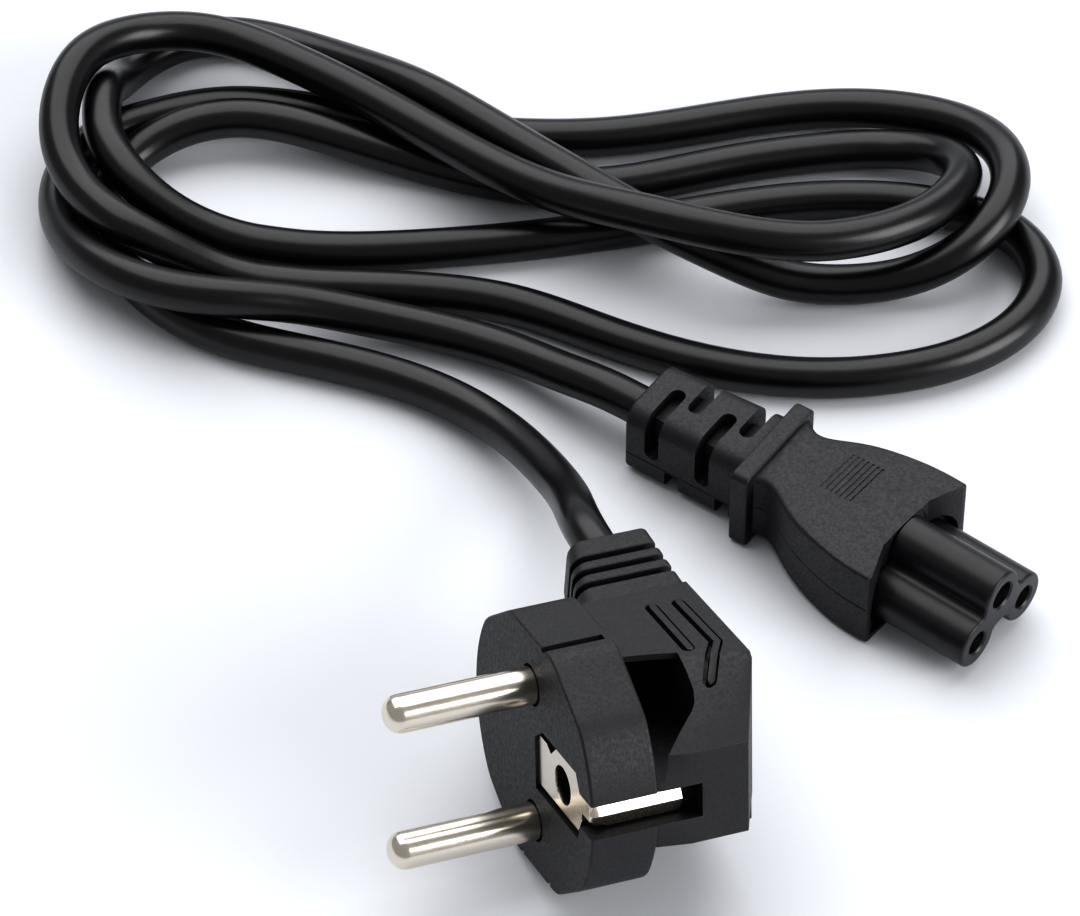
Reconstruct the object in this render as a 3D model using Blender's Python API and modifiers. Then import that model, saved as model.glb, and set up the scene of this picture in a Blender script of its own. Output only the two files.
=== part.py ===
"""Moulded mains lead: an angled two-pin earthed plug, a round cord and a cloverleaf connector.

Sizes are in millimetres and become metres through MM. The plug is modelled in its own frame, with X out
along the pins, Y towards the earth hole and Z along the line of the two pins. The connector has X out of
its nose, Y across and Z up from its resting face. Each frame is an empty that lays the piece on the floor.
"""
import math

import bmesh
import bpy
import numpy as np
from mathutils import Euler, Matrix, Vector

MM = 0.001
GAP = 0.3
OVERLAP = 0.5

# Plug face and pins
FACE_RADIUS = 18.7
FACE_HALF_HEIGHT = 16.5
FACE_SLANT = 17.5
FACE_SLANT_TURN = math.radians(58.0)
DISC_THICKNESS = 8.7
PIN_RADIUS = 2.4
PIN_LENGTH = 19.0
PIN_PITCH = 19.0
PIN_ROOT = 7.0
PIN_TIP_ROUNDING = 2.0

# Plug body behind the face
BODY_DEPTH = 24.5
BODY_TOP = 13.6
BODY_BOTTOM = -9.6
BODY_EARTH_SIDE = 10.2
BODY_CORD_SIDE = -9.4
RIB_HALF_HEIGHT = 5.9
RIB_DEPTH = 20.0
RIB_INSET = 0.1
SHOULDER_REACH = 18.5
SHOULDER_DEPTH = 20.4
SHOULDER_TOP = 6.6
SHOULDER_BOTTOM = -5.8
SHOULDER_EDGE = 4.4
POCKET_BACK = 16.3
POCKET_FLOOR = 3.3
POCKET_LIP = 0.8
POCKET_UNDERCUT = -1.0

# Earth strap: a plate with the hole, a leaf along each side and a bridge between them
EARTH_HOLE_OFFSET = 8.6
EARTH_HOLE_RADIUS = 2.5
EARTH_HOLE_DEPTH = 9.0
STRAP_THICKNESS = 0.8
PLATE_INNER = 1.0
PLATE_HALF_HEIGHT = 3.7
PLATE_SUNK = 0.4
LEAF_HALF_HEIGHT = 1.9
LEAF_LENGTH = 13.4
LEAF_INSET = 1.2

# Plug strain relief
RELIEF_TILT = math.radians(12.0)
RELIEF_AXIS_HEIGHT = 7.8
RELIEF_LENGTH = 14.2
RELIEF_FRONT_AT_BODY = -9.8
RELIEF_FRONT_AT_END = -13.8
RELIEF_HEIGHT_AT_BODY = 11.2
RELIEF_HEIGHT_AT_END = 9.6
RELIEF_FRONT_CORNER = 2.1
RELIEF_BACK_CORNER = 0.9
RELIEF_GROOVE = 1.1
RELIEF_GROOVE_DEPTH = 1.0
RELIEF_BAND = 1.45
RELIEF_END_BAND = 3.4
RELIEF_GROOVES = 3
RELIEF_SUNK = 4.0

# Connector housing
HOUSING_LENGTH = 22.6
HOUSING_WIDTH = 21.2
HOUSING_HEIGHT = 12.8
HOUSING_CORNER = 0.8
WAIST_WIDTH = 11.6
WAIST_HEIGHT = 11.0
WAIST_FROM_FRONT = 20.2
WAIST_EASING = 1.55
FRONT_RECESS = 1.9
FRONT_RECESS_WIDTH = 9.8
FRONT_RECESS_FLOOR = 1.0
SHOULDER_FROM_FRONT = 4.0
FLANGE_THICKNESS = 2.6
FLANGE_WIDTH = 16.0
FLANGE_HEIGHT = 12.4
FLANGE_CORNER = 1.0
REAR_SHIFT = 0.9
REAR_TURN = math.radians(4.0)

# Connector strain relief
TAIL_LENGTH = 18.2
TAIL_WIDTH = 12.0
TAIL_TOP = 11.9
TAIL_END_WIDTH = 11.4
TAIL_END_TOP = 11.2
TAIL_BOTTOM = 0.6
TAIL_TOP_CORNER = 2.6
TAIL_LOW_CORNER = 0.9
TAIL_ACROSS = 0.4
TAIL_SLOT_AT = (2.7, 5.95, 10.65, 13.9)
TAIL_SLOT_WIDTH = 2.2
TAIL_CORE = 6.4
TAIL_SIDE_REACH = 4.5
TAIL_LOW_REACH = 3.4
CORD_HEIGHT = 6.3

# Cloverleaf nose
NOSE_LENGTH = 13.4
NOSE_SEAT_DEPTH = 2.0
NOSE_CLEARANCE = 0.9
NOSE_CHAMFER = 0.4
LOBE_RADIUS = 3.5
LOBE_FILLET = 1.1
LINE_PITCH = 10.0
LINE_HOLE_HEIGHT = 4.9
EARTH_RISE = 4.7
LINE_HOLE_RADIUS = 1.65
EARTH_HOLE_IN_NOSE_RADIUS = 1.9
NOSE_HOLE_DEPTH = 12.0
SLEEVE_WALL = 0.35
SLEEVE_SUNK = 1.5
SLEEVE_LENGTH = 9.0

# Cord
CORD_DIAMETER = 5.5
CORD_FACE_GAP = 0.3
CORD_STRAIGHT = 6.0
TUBE_STEP_IN_BENDS = 11.5
TUBE_STEP_STRAIGHT = 17.0
TUBE_END_STRAIGHT = 3.0
BEND_RADIUS_LIMIT = 22.0

# Where the pieces lie on the floor
LAYOUT_SHIFT = (-22.33, 38.16)
PLUG_TO_CONNECTOR = 41.9
PLUG_TURN = math.radians(201.4)
PLUG_PITCH = math.radians(-6.4)
PLUG_ROLL = math.radians(18.8)
CONNECTOR_AT = (48.1, -24.4)
CONNECTOR_TURN = math.radians(-38.9)
PLUG_AT = (-0.9, CONNECTOR_AT[1] - PLUG_TO_CONNECTOR)
FLOOR_CLEARANCE = 0.02

# The cord's route from the connector to the plug, before LAYOUT_SHIFT
ROUTE = [
    (2.8, 11.0, 5.0), (-5.0, 16.5, 3.6), (-15.0, 20.1, 3.7), (-25.0, 21.8, 4.9), (-33.0, 22.0, 6.7),
    (-40.5, 21.2, 8.5), (-48.0, 22.0, 9.0), (-56.0, 25.9, 8.3), (-61.8, 32.6, 6.2), (-65.4, 42.0, 3.4),
    (-65.2, 51.0, 2.8), (-61.4, 57.4, 2.8), (-53.6, 61.8, 2.8), (-44.0, 64.2, 2.8), (-32.0, 63.1, 2.8),
    (-18.0, 59.9, 2.8), (-3.0, 57.9, 2.8), (10.0, 58.2, 2.8), (24.0, 61.0, 2.8), (38.0, 63.4, 3.0),
    (50.0, 61.6, 4.4), (58.1, 57.0, 6.2), (63.0, 49.5, 8.4), (63.4, 40.8, 9.0), (58.9, 33.7, 7.2),
    (51.0, 30.2, 4.2), (42.0, 29.2, 3.0), (33.0, 29.2, 4.0), (25.0, 30.9, 6.6), (16.0, 35.2, 8.5),
    (5.0, 43.5, 9.0), (-6.0, 52.7, 9.0), (-16.0, 61.0, 8.7), (-26.3, 70.0, 5.4), (-36.0, 76.6, 3.0),
    (-45.0, 78.5, 2.8), (-52.2, 76.2, 2.8), (-57.2, 71.2, 3.1), (-59.2, 66.0, 5.3), (-60.0, 61.2, 8.4),
    (-60.0, 55.0, 9.0), (-57.4, 47.0, 8.9), (-51.5, 41.2, 6.4), (-43.0, 38.2, 3.3), (-30.0, 35.8, 2.8),
    (-15.0, 36.2, 2.8), (0.0, 38.0, 2.8), (15.0, 41.0, 2.8), (30.0, 44.4, 2.8), (43.0, 45.6, 2.8),
    (55.2, 44.0, 2.8), (64.1, 39.3, 2.8), (67.7, 31.4, 2.8), (65.3, 23.4, 2.8), (57.8, 16.6, 2.8),
    (47.0, 12.8, 2.8), (35.0, 12.0, 2.8), (22.0, 14.4, 2.8), (9.0, 19.7, 2.8), (-4.0, 25.7, 2.8),
    (-16.0, 27.9, 2.8), (-29.0, 28.7, 2.8), (-42.0, 30.6, 3.4), (-50.5, 32.4, 7.0), (-56.5, 35.0, 9.1),
    (-61.6, 40.6, 9.2), (-65.0, 47.9, 10.0), (-65.5, 55.6, 11.7), (-62.9, 63.2, 12.9), (-56.1, 69.8, 11.2),
    (-46.5, 71.9, 9.5), (-35.0, 67.4, 8.7), (-23.0, 58.8, 9.0), (-10.0, 48.0, 9.6), (2.0, 38.4, 11.4),
    (14.0, 31.6, 14.0), (26.0, 27.8, 14.0), (37.0, 27.6, 12.8), (46.2, 30.6, 11.8), (53.2, 36.0, 10.6),
    (57.2, 43.2, 9.1), (55.8, 50.6, 6.0), (48.5, 55.2, 3.2), (38.0, 54.9, 2.8), (24.0, 52.0, 2.8),
    (9.0, 48.3, 2.8), (-5.0, 49.2, 2.8), (-17.0, 53.0, 3.0), (-30.0, 56.6, 5.0), (-41.0, 58.6, 5.9),
    (-50.3, 57.0, 5.0), (-57.2, 52.0, 3.1), (-59.6, 43.6, 2.8), (-57.3, 34.8, 2.8), (-51.5, 26.5, 2.8),
    (-43.0, 20.2, 2.8), (-32.0, 16.3, 2.8), (-21.0, 12.7, 2.8), (-12.2, 8.2, 3.0), (-5.6, 1.9, 4.2),
    (-0.6, -6.4, 7.0), (3.4, -16.6, 11.2),
]

PARTS = "cloverleaf_power_cord"
CUTTERS = "cloverleaf_power_cord_cutters"


# Setting up

def clear_scene():
    """Removes the start-up objects and makes the two collections."""
    for obj in list(bpy.data.objects):
        bpy.data.objects.remove(obj, do_unlink=True)
    for name in (PARTS, CUTTERS):
        collection = bpy.data.collections.new(name)
        bpy.context.scene.collection.children.link(collection)


def material(name, colour, roughness, metallic=0.0):
    """A Principled material with the piece's colour, roughness and metallic value."""
    mat = bpy.data.materials.new(name)
    mat.use_nodes = True
    shader = mat.node_tree.nodes["Principled BSDF"]
    shader.inputs["Base Color"].default_value = (*colour, 1.0)
    shader.inputs["Roughness"].default_value = roughness
    shader.inputs["Metallic"].default_value = metallic
    mat.diffuse_color = (*colour, 1.0)
    return mat


def frame_empty(name):
    """An empty that carries the pieces modelled in one local frame."""
    empty = bpy.data.objects.new(name, None)
    bpy.data.collections[PARTS].objects.link(empty)
    return empty


def add_object(name, mesh_or_bm, parent, cutter=False):
    """Links a mesh as a part, or as a hidden cutter, under its frame's empty."""
    if isinstance(mesh_or_bm, bmesh.types.BMesh):
        bmesh.ops.recalc_face_normals(mesh_or_bm, faces=mesh_or_bm.faces)
        mesh = bpy.data.meshes.new(name)
        mesh_or_bm.to_mesh(mesh)
        mesh_or_bm.free()
    else:
        mesh = mesh_or_bm
    obj = bpy.data.objects.new(name, mesh)
    bpy.data.collections[CUTTERS if cutter else PARTS].objects.link(obj)
    obj.parent = parent
    if cutter:
        obj.hide_render = True
        obj.display_type = "WIRE"
    return obj


def finish(obj, mat, angle=40.0):
    """Gives a part its material and shades it smooth up to an edge angle."""
    obj.data.materials.append(mat)
    obj.data.shade_smooth()
    obj.data.set_sharp_from_angle(angle=math.radians(angle))


# Solids

def box(name, low, high, parent, cutter=True):
    """A box between two corners, in millimetres."""
    bm = bmesh.new()
    bmesh.ops.create_cube(bm, size=1.0)
    low, high = Vector(low), Vector(high)
    scale = Matrix.Diagonal((*(high - low), 1.0))
    bmesh.ops.transform(bm, matrix=Matrix.Scale(MM, 4) @ Matrix.Translation((low + high) / 2) @ scale,
                        verts=bm.verts)
    return add_object(name, bm, parent, cutter)


def rod(name, radius, start, end, parent, centre=(0.0, 0.0), axis="X", sides=32, cutter=True):
    """A cylinder along X, or along Y, between two stations, in millimetres."""
    bm = bmesh.new()
    bmesh.ops.create_cone(bm, cap_ends=True, segments=sides, radius1=radius, radius2=radius,
                          depth=abs(end - start))
    middle = (start + end) / 2
    if axis == "X":
        turn = Matrix.Rotation(math.radians(90.0), 4, "Y")
        place = Matrix.Translation((middle, centre[0], centre[1]))
    else:
        turn = Matrix.Rotation(math.radians(90.0), 4, "X")
        place = Matrix.Translation((centre[0], middle, centre[1]))
    bmesh.ops.transform(bm, matrix=Matrix.Scale(MM, 4) @ place @ turn, verts=bm.verts)
    return add_object(name, bm, parent, cutter)


def rounded_section(low, high, radii, steps=4):
    """Points of a rectangle with a radius for each corner, from the upper right one round."""
    points = []
    for number, radius in enumerate(radii):
        start = 90.0 * number
        cx = high[0] - radius if number in (0, 3) else low[0] + radius
        cy = high[1] - radius if number in (0, 1) else low[1] + radius
        for step in range(steps + 1):
            angle = math.radians(start + 90.0 * step / steps)
            points.append((cx + radius * math.cos(angle), cy + radius * math.sin(angle)))
    return points


def loft(name, rings, parent, place=Matrix.Identity(4), cutter=False):
    """A closed solid through like rings of points, with flat ends, in millimetres."""
    bm = bmesh.new()
    rows = [[bm.verts.new(place @ Vector(point) * MM) for point in ring] for ring in rings]
    count = len(rings[0])
    for first, second in zip(rows, rows[1:]):
        for i in range(count):
            j = (i + 1) % count
            bm.faces.new((first[i], first[j], second[j], second[i]))
    bm.faces.new(rows[0][::-1])
    bm.faces.new(rows[-1])
    return add_object(name, bm, parent, cutter)


def boolean(obj, other, operation="DIFFERENCE"):
    """Adds one exact Boolean with a cutter or a piece to join."""
    modifier = obj.modifiers.new(f"{operation.lower()}_{other.name}", "BOOLEAN")
    modifier.operation = operation
    modifier.solver = "EXACT"
    modifier.object = other


def bevel(obj, width, segments=2, angle=35.0):
    """Rounds the edges sharper than an angle."""
    modifier = obj.modifiers.new("rounded_edges", "BEVEL")
    modifier.width = width * MM
    modifier.segments = segments
    modifier.limit_method = "ANGLE"
    modifier.angle_limit = math.radians(angle)
    modifier.use_clamp_overlap = True


def turned(name, profile, parent, centre, sides=28):
    """A turned solid about X from (radius, station) points given from the tip back."""
    bm = bmesh.new()
    verts = [bm.verts.new((radius * MM, 0.0, station * MM)) for radius, station in profile]
    for first, second in zip(verts, verts[1:]):
        bm.edges.new((first, second))
    mesh = bpy.data.meshes.new(name)
    bm.to_mesh(mesh)
    bm.free()
    obj = bpy.data.objects.new(name, mesh)
    bpy.data.collections[PARTS].objects.link(obj)
    obj.parent = parent
    obj.rotation_euler = (0.0, math.radians(90.0), 0.0)
    obj.location = (0.0, centre[0] * MM, centre[1] * MM)
    screw = obj.modifiers.new("turn", "SCREW")
    screw.steps = sides
    screw.render_steps = sides
    screw.use_merge_vertices = True
    screw.merge_threshold = 0.00001
    return obj


# Plug

def shoulder_section(station, reach, top, edge):
    """Section of the block at a station: flat top, slope to the earth side, side face and step in."""
    return [(station, y, z) for y, z in (
        (BODY_CORD_SIDE, BODY_BOTTOM), (BODY_CORD_SIDE, BODY_TOP), (edge, BODY_TOP), (reach, top),
        (reach, SHOULDER_BOTTOM), (BODY_EARTH_SIDE, SHOULDER_BOTTOM), (BODY_EARTH_SIDE, BODY_BOTTOM))]


def body_block(parent):
    """The block behind the disc, with its shoulder sloping down to the earth side."""
    front = -DISC_THICKNESS + OVERLAP
    spread = (BODY_EARTH_SIDE - 0.4 - SHOULDER_EDGE) / (BODY_DEPTH - DISC_THICKNESS)
    rings = [shoulder_section(front, SHOULDER_REACH - 1.3, SHOULDER_TOP, SHOULDER_EDGE),
             shoulder_section(front - 1.2, SHOULDER_REACH, SHOULDER_TOP, SHOULDER_EDGE + 0.7 * spread),
             shoulder_section(-SHOULDER_DEPTH, SHOULDER_REACH, SHOULDER_TOP,
                              SHOULDER_EDGE + (SHOULDER_DEPTH - DISC_THICKNESS) * spread),
             shoulder_section(-BODY_DEPTH, BODY_EARTH_SIDE + 0.1, BODY_TOP - 0.5, BODY_EARTH_SIDE - 0.4)]
    return loft("body_block", rings, parent, cutter=True)


def plan_prism(name, outline, low, high, parent):
    """A cutter with an outline seen from above, between two heights."""
    return loft(name, [[(x, y, z) for x, y in outline] for z in (low, high)], parent, cutter=True)


def cut_pocket(body, parent):
    """Cuts the scoop behind the disc's earth side, with its undercut below the lip of the top."""
    back = -POCKET_BACK
    disc = -DISC_THICKNESS
    scoop = [(disc, SHOULDER_EDGE + 0.3), (disc - 1.6, SHOULDER_EDGE + 0.6), (back, 6.65),
             (back + 0.1, 11.95), (back + 1.3, 14.15), (disc - 0.4, SHOULDER_REACH + 0.2),
             (disc, SHOULDER_REACH + 1.0)]
    undercut = [(disc, POCKET_UNDERCUT), (disc - 3.4, POCKET_UNDERCUT), (back + 0.2, 3.0),
                (back + 0.05, 7.5), (disc, 7.5)]
    boolean(body, plan_prism("pocket_scoop", scoop, POCKET_FLOOR, BODY_TOP + 1.0, parent))
    boolean(body, plan_prism("pocket_undercut", undercut, POCKET_FLOOR + 0.1, BODY_TOP - POCKET_LIP, parent))


def relief_matrix():
    """Frame of the plug's strain relief: X as the plug's, Y up across it, Z out along its axis."""
    return (Matrix.Translation((0.0, BODY_CORD_SIDE + OVERLAP, RELIEF_AXIS_HEIGHT))
            @ Matrix.Rotation(math.radians(90.0) - RELIEF_TILT, 4, "X"))


def relief_ring(station, inset):
    """Section of the strain relief at a station along its axis, shrunk all round by an inset."""
    share = station / RELIEF_LENGTH
    front = RELIEF_FRONT_AT_BODY + (RELIEF_FRONT_AT_END - RELIEF_FRONT_AT_BODY) * share
    half = (RELIEF_HEIGHT_AT_BODY + (RELIEF_HEIGHT_AT_END - RELIEF_HEIGHT_AT_BODY) * share) / 2
    front_corner, back_corner = RELIEF_FRONT_CORNER - inset * 0.5, RELIEF_BACK_CORNER - inset * 0.5
    section = rounded_section((-BODY_DEPTH + inset, -half + inset), (front - inset, half - inset),
                              (front_corner, back_corner, back_corner, front_corner))
    return [(x, y, station) for x, y in section]


def relief_exit():
    """Where the cord's axis leaves the strain relief, and its direction, in the plug's frame."""
    frame = relief_matrix()
    middle = (-BODY_DEPTH + RELIEF_FRONT_AT_END) / 2
    point = frame @ Vector((middle, 0.0, RELIEF_LENGTH))
    return point, frame.to_3x3() @ Vector((0.0, 0.0, 1.0))


def add_strain_relief(body, parent):
    """Joins the core and the bands between the grooves to the plug's body."""
    frame = relief_matrix()
    root = -RELIEF_SUNK
    core_end = RELIEF_LENGTH - OVERLAP
    core = loft("relief_core", [relief_ring(root, RELIEF_GROOVE_DEPTH),
                                relief_ring(core_end, RELIEF_GROOVE_DEPTH)], parent, frame, cutter=True)
    boolean(body, core, "UNION")
    end = RELIEF_LENGTH
    start = end - RELIEF_END_BAND
    for number in range(RELIEF_GROOVES + 1):
        if number == RELIEF_GROOVES:
            start = root
        band = loft(f"relief_band_{number}", [relief_ring(start, 0.0), relief_ring(end, 0.0)],
                    parent, frame, cutter=True)
        boolean(body, band, "UNION")
        end = start - RELIEF_GROOVE
        start = end - RELIEF_BAND


def strap_reach():
    """Distance of a side leaf's outer face from the plug's middle."""
    return FACE_RADIUS - LEAF_INSET


def plug_body(parent, mat):
    """The overmoulding: face disc, body block, cord-side rib, pocket and strain relief in one piece."""
    body = rod("plug_body", FACE_RADIUS, -DISC_THICKNESS, 0.0, parent, sides=72, cutter=False)
    slant_y = (FACE_SLANT - math.sin(FACE_SLANT_TURN) * FACE_HALF_HEIGHT) / math.cos(FACE_SLANT_TURN)
    outer = FACE_RADIUS + 1.0
    slant_z = (FACE_SLANT - math.cos(FACE_SLANT_TURN) * outer) / math.sin(FACE_SLANT_TURN)
    quarter = [(outer, slant_z), (slant_y, FACE_HALF_HEIGHT)]
    outline = quarter + [(-y, z) for y, z in reversed(quarter)]
    outline += [(-y, -z) for y, z in quarter] + [(y, -z) for y, z in reversed(quarter)]
    face_limit = loft("face_limit", [[(x, y, z) for y, z in outline] for x in (-DISC_THICKNESS - 1.0, 1.0)],
                      parent, cutter=True)
    boolean(body, face_limit, "INTERSECT")
    boolean(body, body_block(parent), "UNION")
    front = -DISC_THICKNESS + OVERLAP
    rib = box("cord_side_rib", (-RIB_DEPTH, -FACE_RADIUS + RIB_INSET, -RIB_HALF_HEIGHT),
              (front, 0.0, RIB_HALF_HEIGHT), parent)
    boolean(body, rib, "UNION")
    cut_pocket(body, parent)
    add_strain_relief(body, parent)

    for side in (1, -1):
        boolean(body, rod(f"pin_hole_{side}", PIN_RADIUS + GAP, -PIN_ROOT - GAP, 1.0, parent,
                          (0.0, side * PIN_PITCH / 2)))
    cut_strap_seat(body, parent)
    finish(body, mat)
    return body


def cut_strap_seat(body, parent):
    """Cuts the seat of the earth strap and the hole behind its plate."""
    boolean(body, rod("earth_hole", EARTH_HOLE_RADIUS + GAP, -EARTH_HOLE_DEPTH, 1.0, parent,
                      (EARTH_HOLE_OFFSET, 0.0)))
    plate_floor = -PLATE_SUNK - STRAP_THICKNESS - GAP
    outer = FACE_RADIUS + 1.0
    inner = strap_reach() - STRAP_THICKNESS - GAP
    seat = box("plate_seat", (plate_floor, PLATE_INNER - GAP, -PLATE_HALF_HEIGHT - GAP),
               (1.0, strap_reach() - 3.0, PLATE_HALF_HEIGHT + GAP), parent)
    boolean(body, seat)
    tongue = box("tongue_seat", (plate_floor, PLATE_INNER, -LEAF_HALF_HEIGHT - GAP),
                 (1.0, outer, LEAF_HALF_HEIGHT + GAP), parent)
    boolean(body, tongue)
    back = -PLATE_SUNK - LEAF_LENGTH - GAP
    for side in (1, -1):
        low, high = sorted((side * inner, side * outer))
        front = 1.0 if side > 0 else -PLATE_SUNK + GAP
        boolean(body, box(f"leaf_seat_{side}", (back, low, -LEAF_HALF_HEIGHT - GAP),
                          (front, high, LEAF_HALF_HEIGHT + GAP), parent))
    boolean(body, box("bridge_seat", (back, -outer + 2.0, -LEAF_HALF_HEIGHT - GAP),
                      (back + STRAP_THICKNESS + 2 * GAP, outer - 2.0, LEAF_HALF_HEIGHT + GAP), parent))


def earth_contact(parent, mat):
    """The stamped strap: the plate with the hole, a leaf down each side and the bridge inside."""
    top = -PLATE_SUNK
    bottom = top - STRAP_THICKNESS
    reach = strap_reach()
    back = top - LEAF_LENGTH
    strap = box("earth_contact", (bottom, PLATE_INNER, -PLATE_HALF_HEIGHT),
                (top, reach - 3.0 - GAP, PLATE_HALF_HEIGHT), parent, cutter=False)
    tongue = box("strap_tongue", (bottom, PLATE_INNER + 1.0, -LEAF_HALF_HEIGHT),
                 (top, reach, LEAF_HALF_HEIGHT), parent)
    boolean(strap, tongue, "UNION")
    for side in (1, -1):
        low, high = sorted((side * (reach - STRAP_THICKNESS), side * reach))
        leaf = box(f"strap_leaf_{side}", (back, low, -LEAF_HALF_HEIGHT), (top, high, LEAF_HALF_HEIGHT),
                   parent)
        boolean(strap, leaf, "UNION")
    bridge = box("strap_bridge", (back, -reach, -LEAF_HALF_HEIGHT),
                 (back + STRAP_THICKNESS, reach, LEAF_HALF_HEIGHT), parent)
    boolean(strap, bridge, "UNION")
    boolean(strap, rod("strap_hole", EARTH_HOLE_RADIUS, bottom - 1.0, 1.0, parent,
                       (EARTH_HOLE_OFFSET, 0.0)))
    finish(strap, mat)
    return strap


def contact_pin(name, side, parent, mat):
    """One round contact pin, turned, with its domed tip and its root in the moulding."""
    profile = [(0.0, PIN_LENGTH)]
    steps = 5
    for step in range(1, steps + 1):
        angle = math.radians(90.0 * step / steps)
        profile.append((PIN_RADIUS - PIN_TIP_ROUNDING + PIN_TIP_ROUNDING * math.sin(angle),
                        PIN_LENGTH - PIN_TIP_ROUNDING + PIN_TIP_ROUNDING * math.cos(angle)))
    profile += [(PIN_RADIUS, -PIN_ROOT), (0.0, -PIN_ROOT)]
    pin = turned(name, profile, parent, (0.0, side * PIN_PITCH / 2))
    finish(pin, mat)
    return pin


# Connector

def smooth_share(value):
    """A share from 0 to 1 that eases in and out."""
    value = min(1.0, max(0.0, value))
    return value * value * (3.0 - 2.0 * value)


def housing_ring(station):
    """Section of the housing at a distance behind its front face."""
    along = max(0.0, station - SHOULDER_FROM_FRONT) / (WAIST_FROM_FRONT - SHOULDER_FROM_FRONT)
    share = smooth_share(along**WAIST_EASING)
    half_width = (HOUSING_WIDTH + (WAIST_WIDTH - HOUSING_WIDTH) * share) / 2
    flare = smooth_share((station - WAIST_FROM_FRONT) / (HOUSING_LENGTH - WAIST_FROM_FRONT)) * 0.5
    half_height = (HOUSING_HEIGHT + (WAIST_HEIGHT - HOUSING_HEIGHT) * share) / 2
    middle = HOUSING_HEIGHT / 2
    corner = HOUSING_CORNER * (1.0 + share)
    section = rounded_section((-half_width - flare, middle - half_height),
                              (half_width + flare, middle + half_height), (corner,) * 4)
    bend = REAR_SHIFT * smooth_share((station - SHOULDER_FROM_FRONT) / (HOUSING_LENGTH - SHOULDER_FROM_FRONT))
    return [(-station, y + bend, z) for y, z in section]


def rear_matrix():
    """Frame of the flange and strain relief, which lie a little turned from the housing."""
    return Matrix.Translation((-HOUSING_LENGTH, REAR_SHIFT, 0.0)) @ Matrix.Rotation(REAR_TURN, 4, "Z")


def tail_ring(station):
    """Section of the connector's strain relief at a distance behind the flange, in the rear frame."""
    share = station / TAIL_LENGTH
    half_width = (TAIL_WIDTH + (TAIL_END_WIDTH - TAIL_WIDTH) * share) / 2
    top = TAIL_TOP + (TAIL_END_TOP - TAIL_TOP) * share
    section = rounded_section((TAIL_ACROSS - half_width, TAIL_BOTTOM), (TAIL_ACROSS + half_width, top),
                              (TAIL_TOP_CORNER, TAIL_TOP_CORNER, TAIL_LOW_CORNER, TAIL_LOW_CORNER))
    return [(-FLANGE_THICKNESS - station, y, z) for y, z in section]


def tail_exit():
    """Where the cord's axis leaves the connector's strain relief, in the connector's frame."""
    return rear_matrix() @ Vector((-FLANGE_THICKNESS - TAIL_LENGTH, TAIL_ACROSS, CORD_HEIGHT))


def cut_tail_slots(body, parent):
    """Cuts the staggered slots: each opens two opposite quarters of the strain relief."""
    half_core = TAIL_CORE / 2
    far = TAIL_WIDTH
    for number, distance in enumerate(TAIL_SLOT_AT):
        centre = -FLANGE_THICKNESS - distance
        ends = (centre - TAIL_SLOT_WIDTH / 2, centre + TAIL_SLOT_WIDTH / 2)
        across = 1 if number % 2 == 0 else -1
        for up in (1, -1):
            side = across * up
            inner, wall, outer = (TAIL_ACROSS + side * reach for reach in (-0.4, half_core, far))
            floor, top = CORD_HEIGHT + up * half_core, CORD_HEIGHT + up * far
            reach = TAIL_SIDE_REACH if up > 0 else TAIL_LOW_REACH
            outline = [(inner, floor), (wall, floor), (wall, reach), (outer, reach), (outer, top),
                       (inner, top)]
            boolean(body, loft(f"slot_{number}_{up}", [[(x, y, z) for y, z in outline] for x in ends],
                               parent, rear_matrix(), cutter=True))


def lobe_centres():
    """Line, neutral and earth centres of the nose, across and up, with their hole radii."""
    return (("line", LINE_PITCH / 2, LINE_HOLE_HEIGHT, LINE_HOLE_RADIUS),
            ("neutral", -LINE_PITCH / 2, LINE_HOLE_HEIGHT, LINE_HOLE_RADIUS),
            ("earth", 0.0, LINE_HOLE_HEIGHT + EARTH_RISE, EARTH_HOLE_IN_NOSE_RADIUS))


def arc(centre, radius, start, end, steps):
    """Points on an arc between two angles, both ends included."""
    angles = [start + (end - start) * step / steps for step in range(steps + 1)]
    return [Vector((centre.x + radius * math.cos(angle), centre.y + radius * math.sin(angle)))
            for angle in angles]


def bearing(start, end):
    """Angle of the line from one point to another."""
    return math.atan2(end.y - start.y, end.x - start.x)


def clover_outline(grow=0.0):
    """Outline of the three lobes and their web, with filleted inner corners, grown all round."""
    radius, fillet = LOBE_RADIUS + grow, LOBE_FILLET - grow
    line = Vector((LINE_PITCH / 2, LINE_HOLE_HEIGHT))
    earth = Vector((0.0, LINE_HOLE_HEIGHT + EARTH_RISE))
    base = LINE_HOLE_HEIGHT - grow
    reach = radius + fillet
    drop = line.y - base + fillet
    low = Vector((line.x - math.sqrt(reach**2 - drop**2), base - fillet))
    half = (earth - line) / 2
    outward = Vector((half.y, -half.x)).normalized()
    side = line + half + outward * math.sqrt(reach**2 - half.length**2)
    right = arc(low, fillet, math.pi / 2, bearing(low, line), 4)
    right += arc(line, radius, bearing(line, low), bearing(line, side), 22)
    right += arc(side, fillet, bearing(side, line), bearing(side, earth) - 2 * math.pi, 5)
    right += arc(earth, radius, bearing(earth, side), math.pi / 2, 8)
    left = [Vector((-point.x, point.y)) for point in reversed(right[:-1])]
    return right + left


def clover_ring(station, grow=0.0):
    """The cloverleaf outline at a station along the nose."""
    return [(station, point.x, point.y) for point in clover_outline(grow)]


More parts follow.
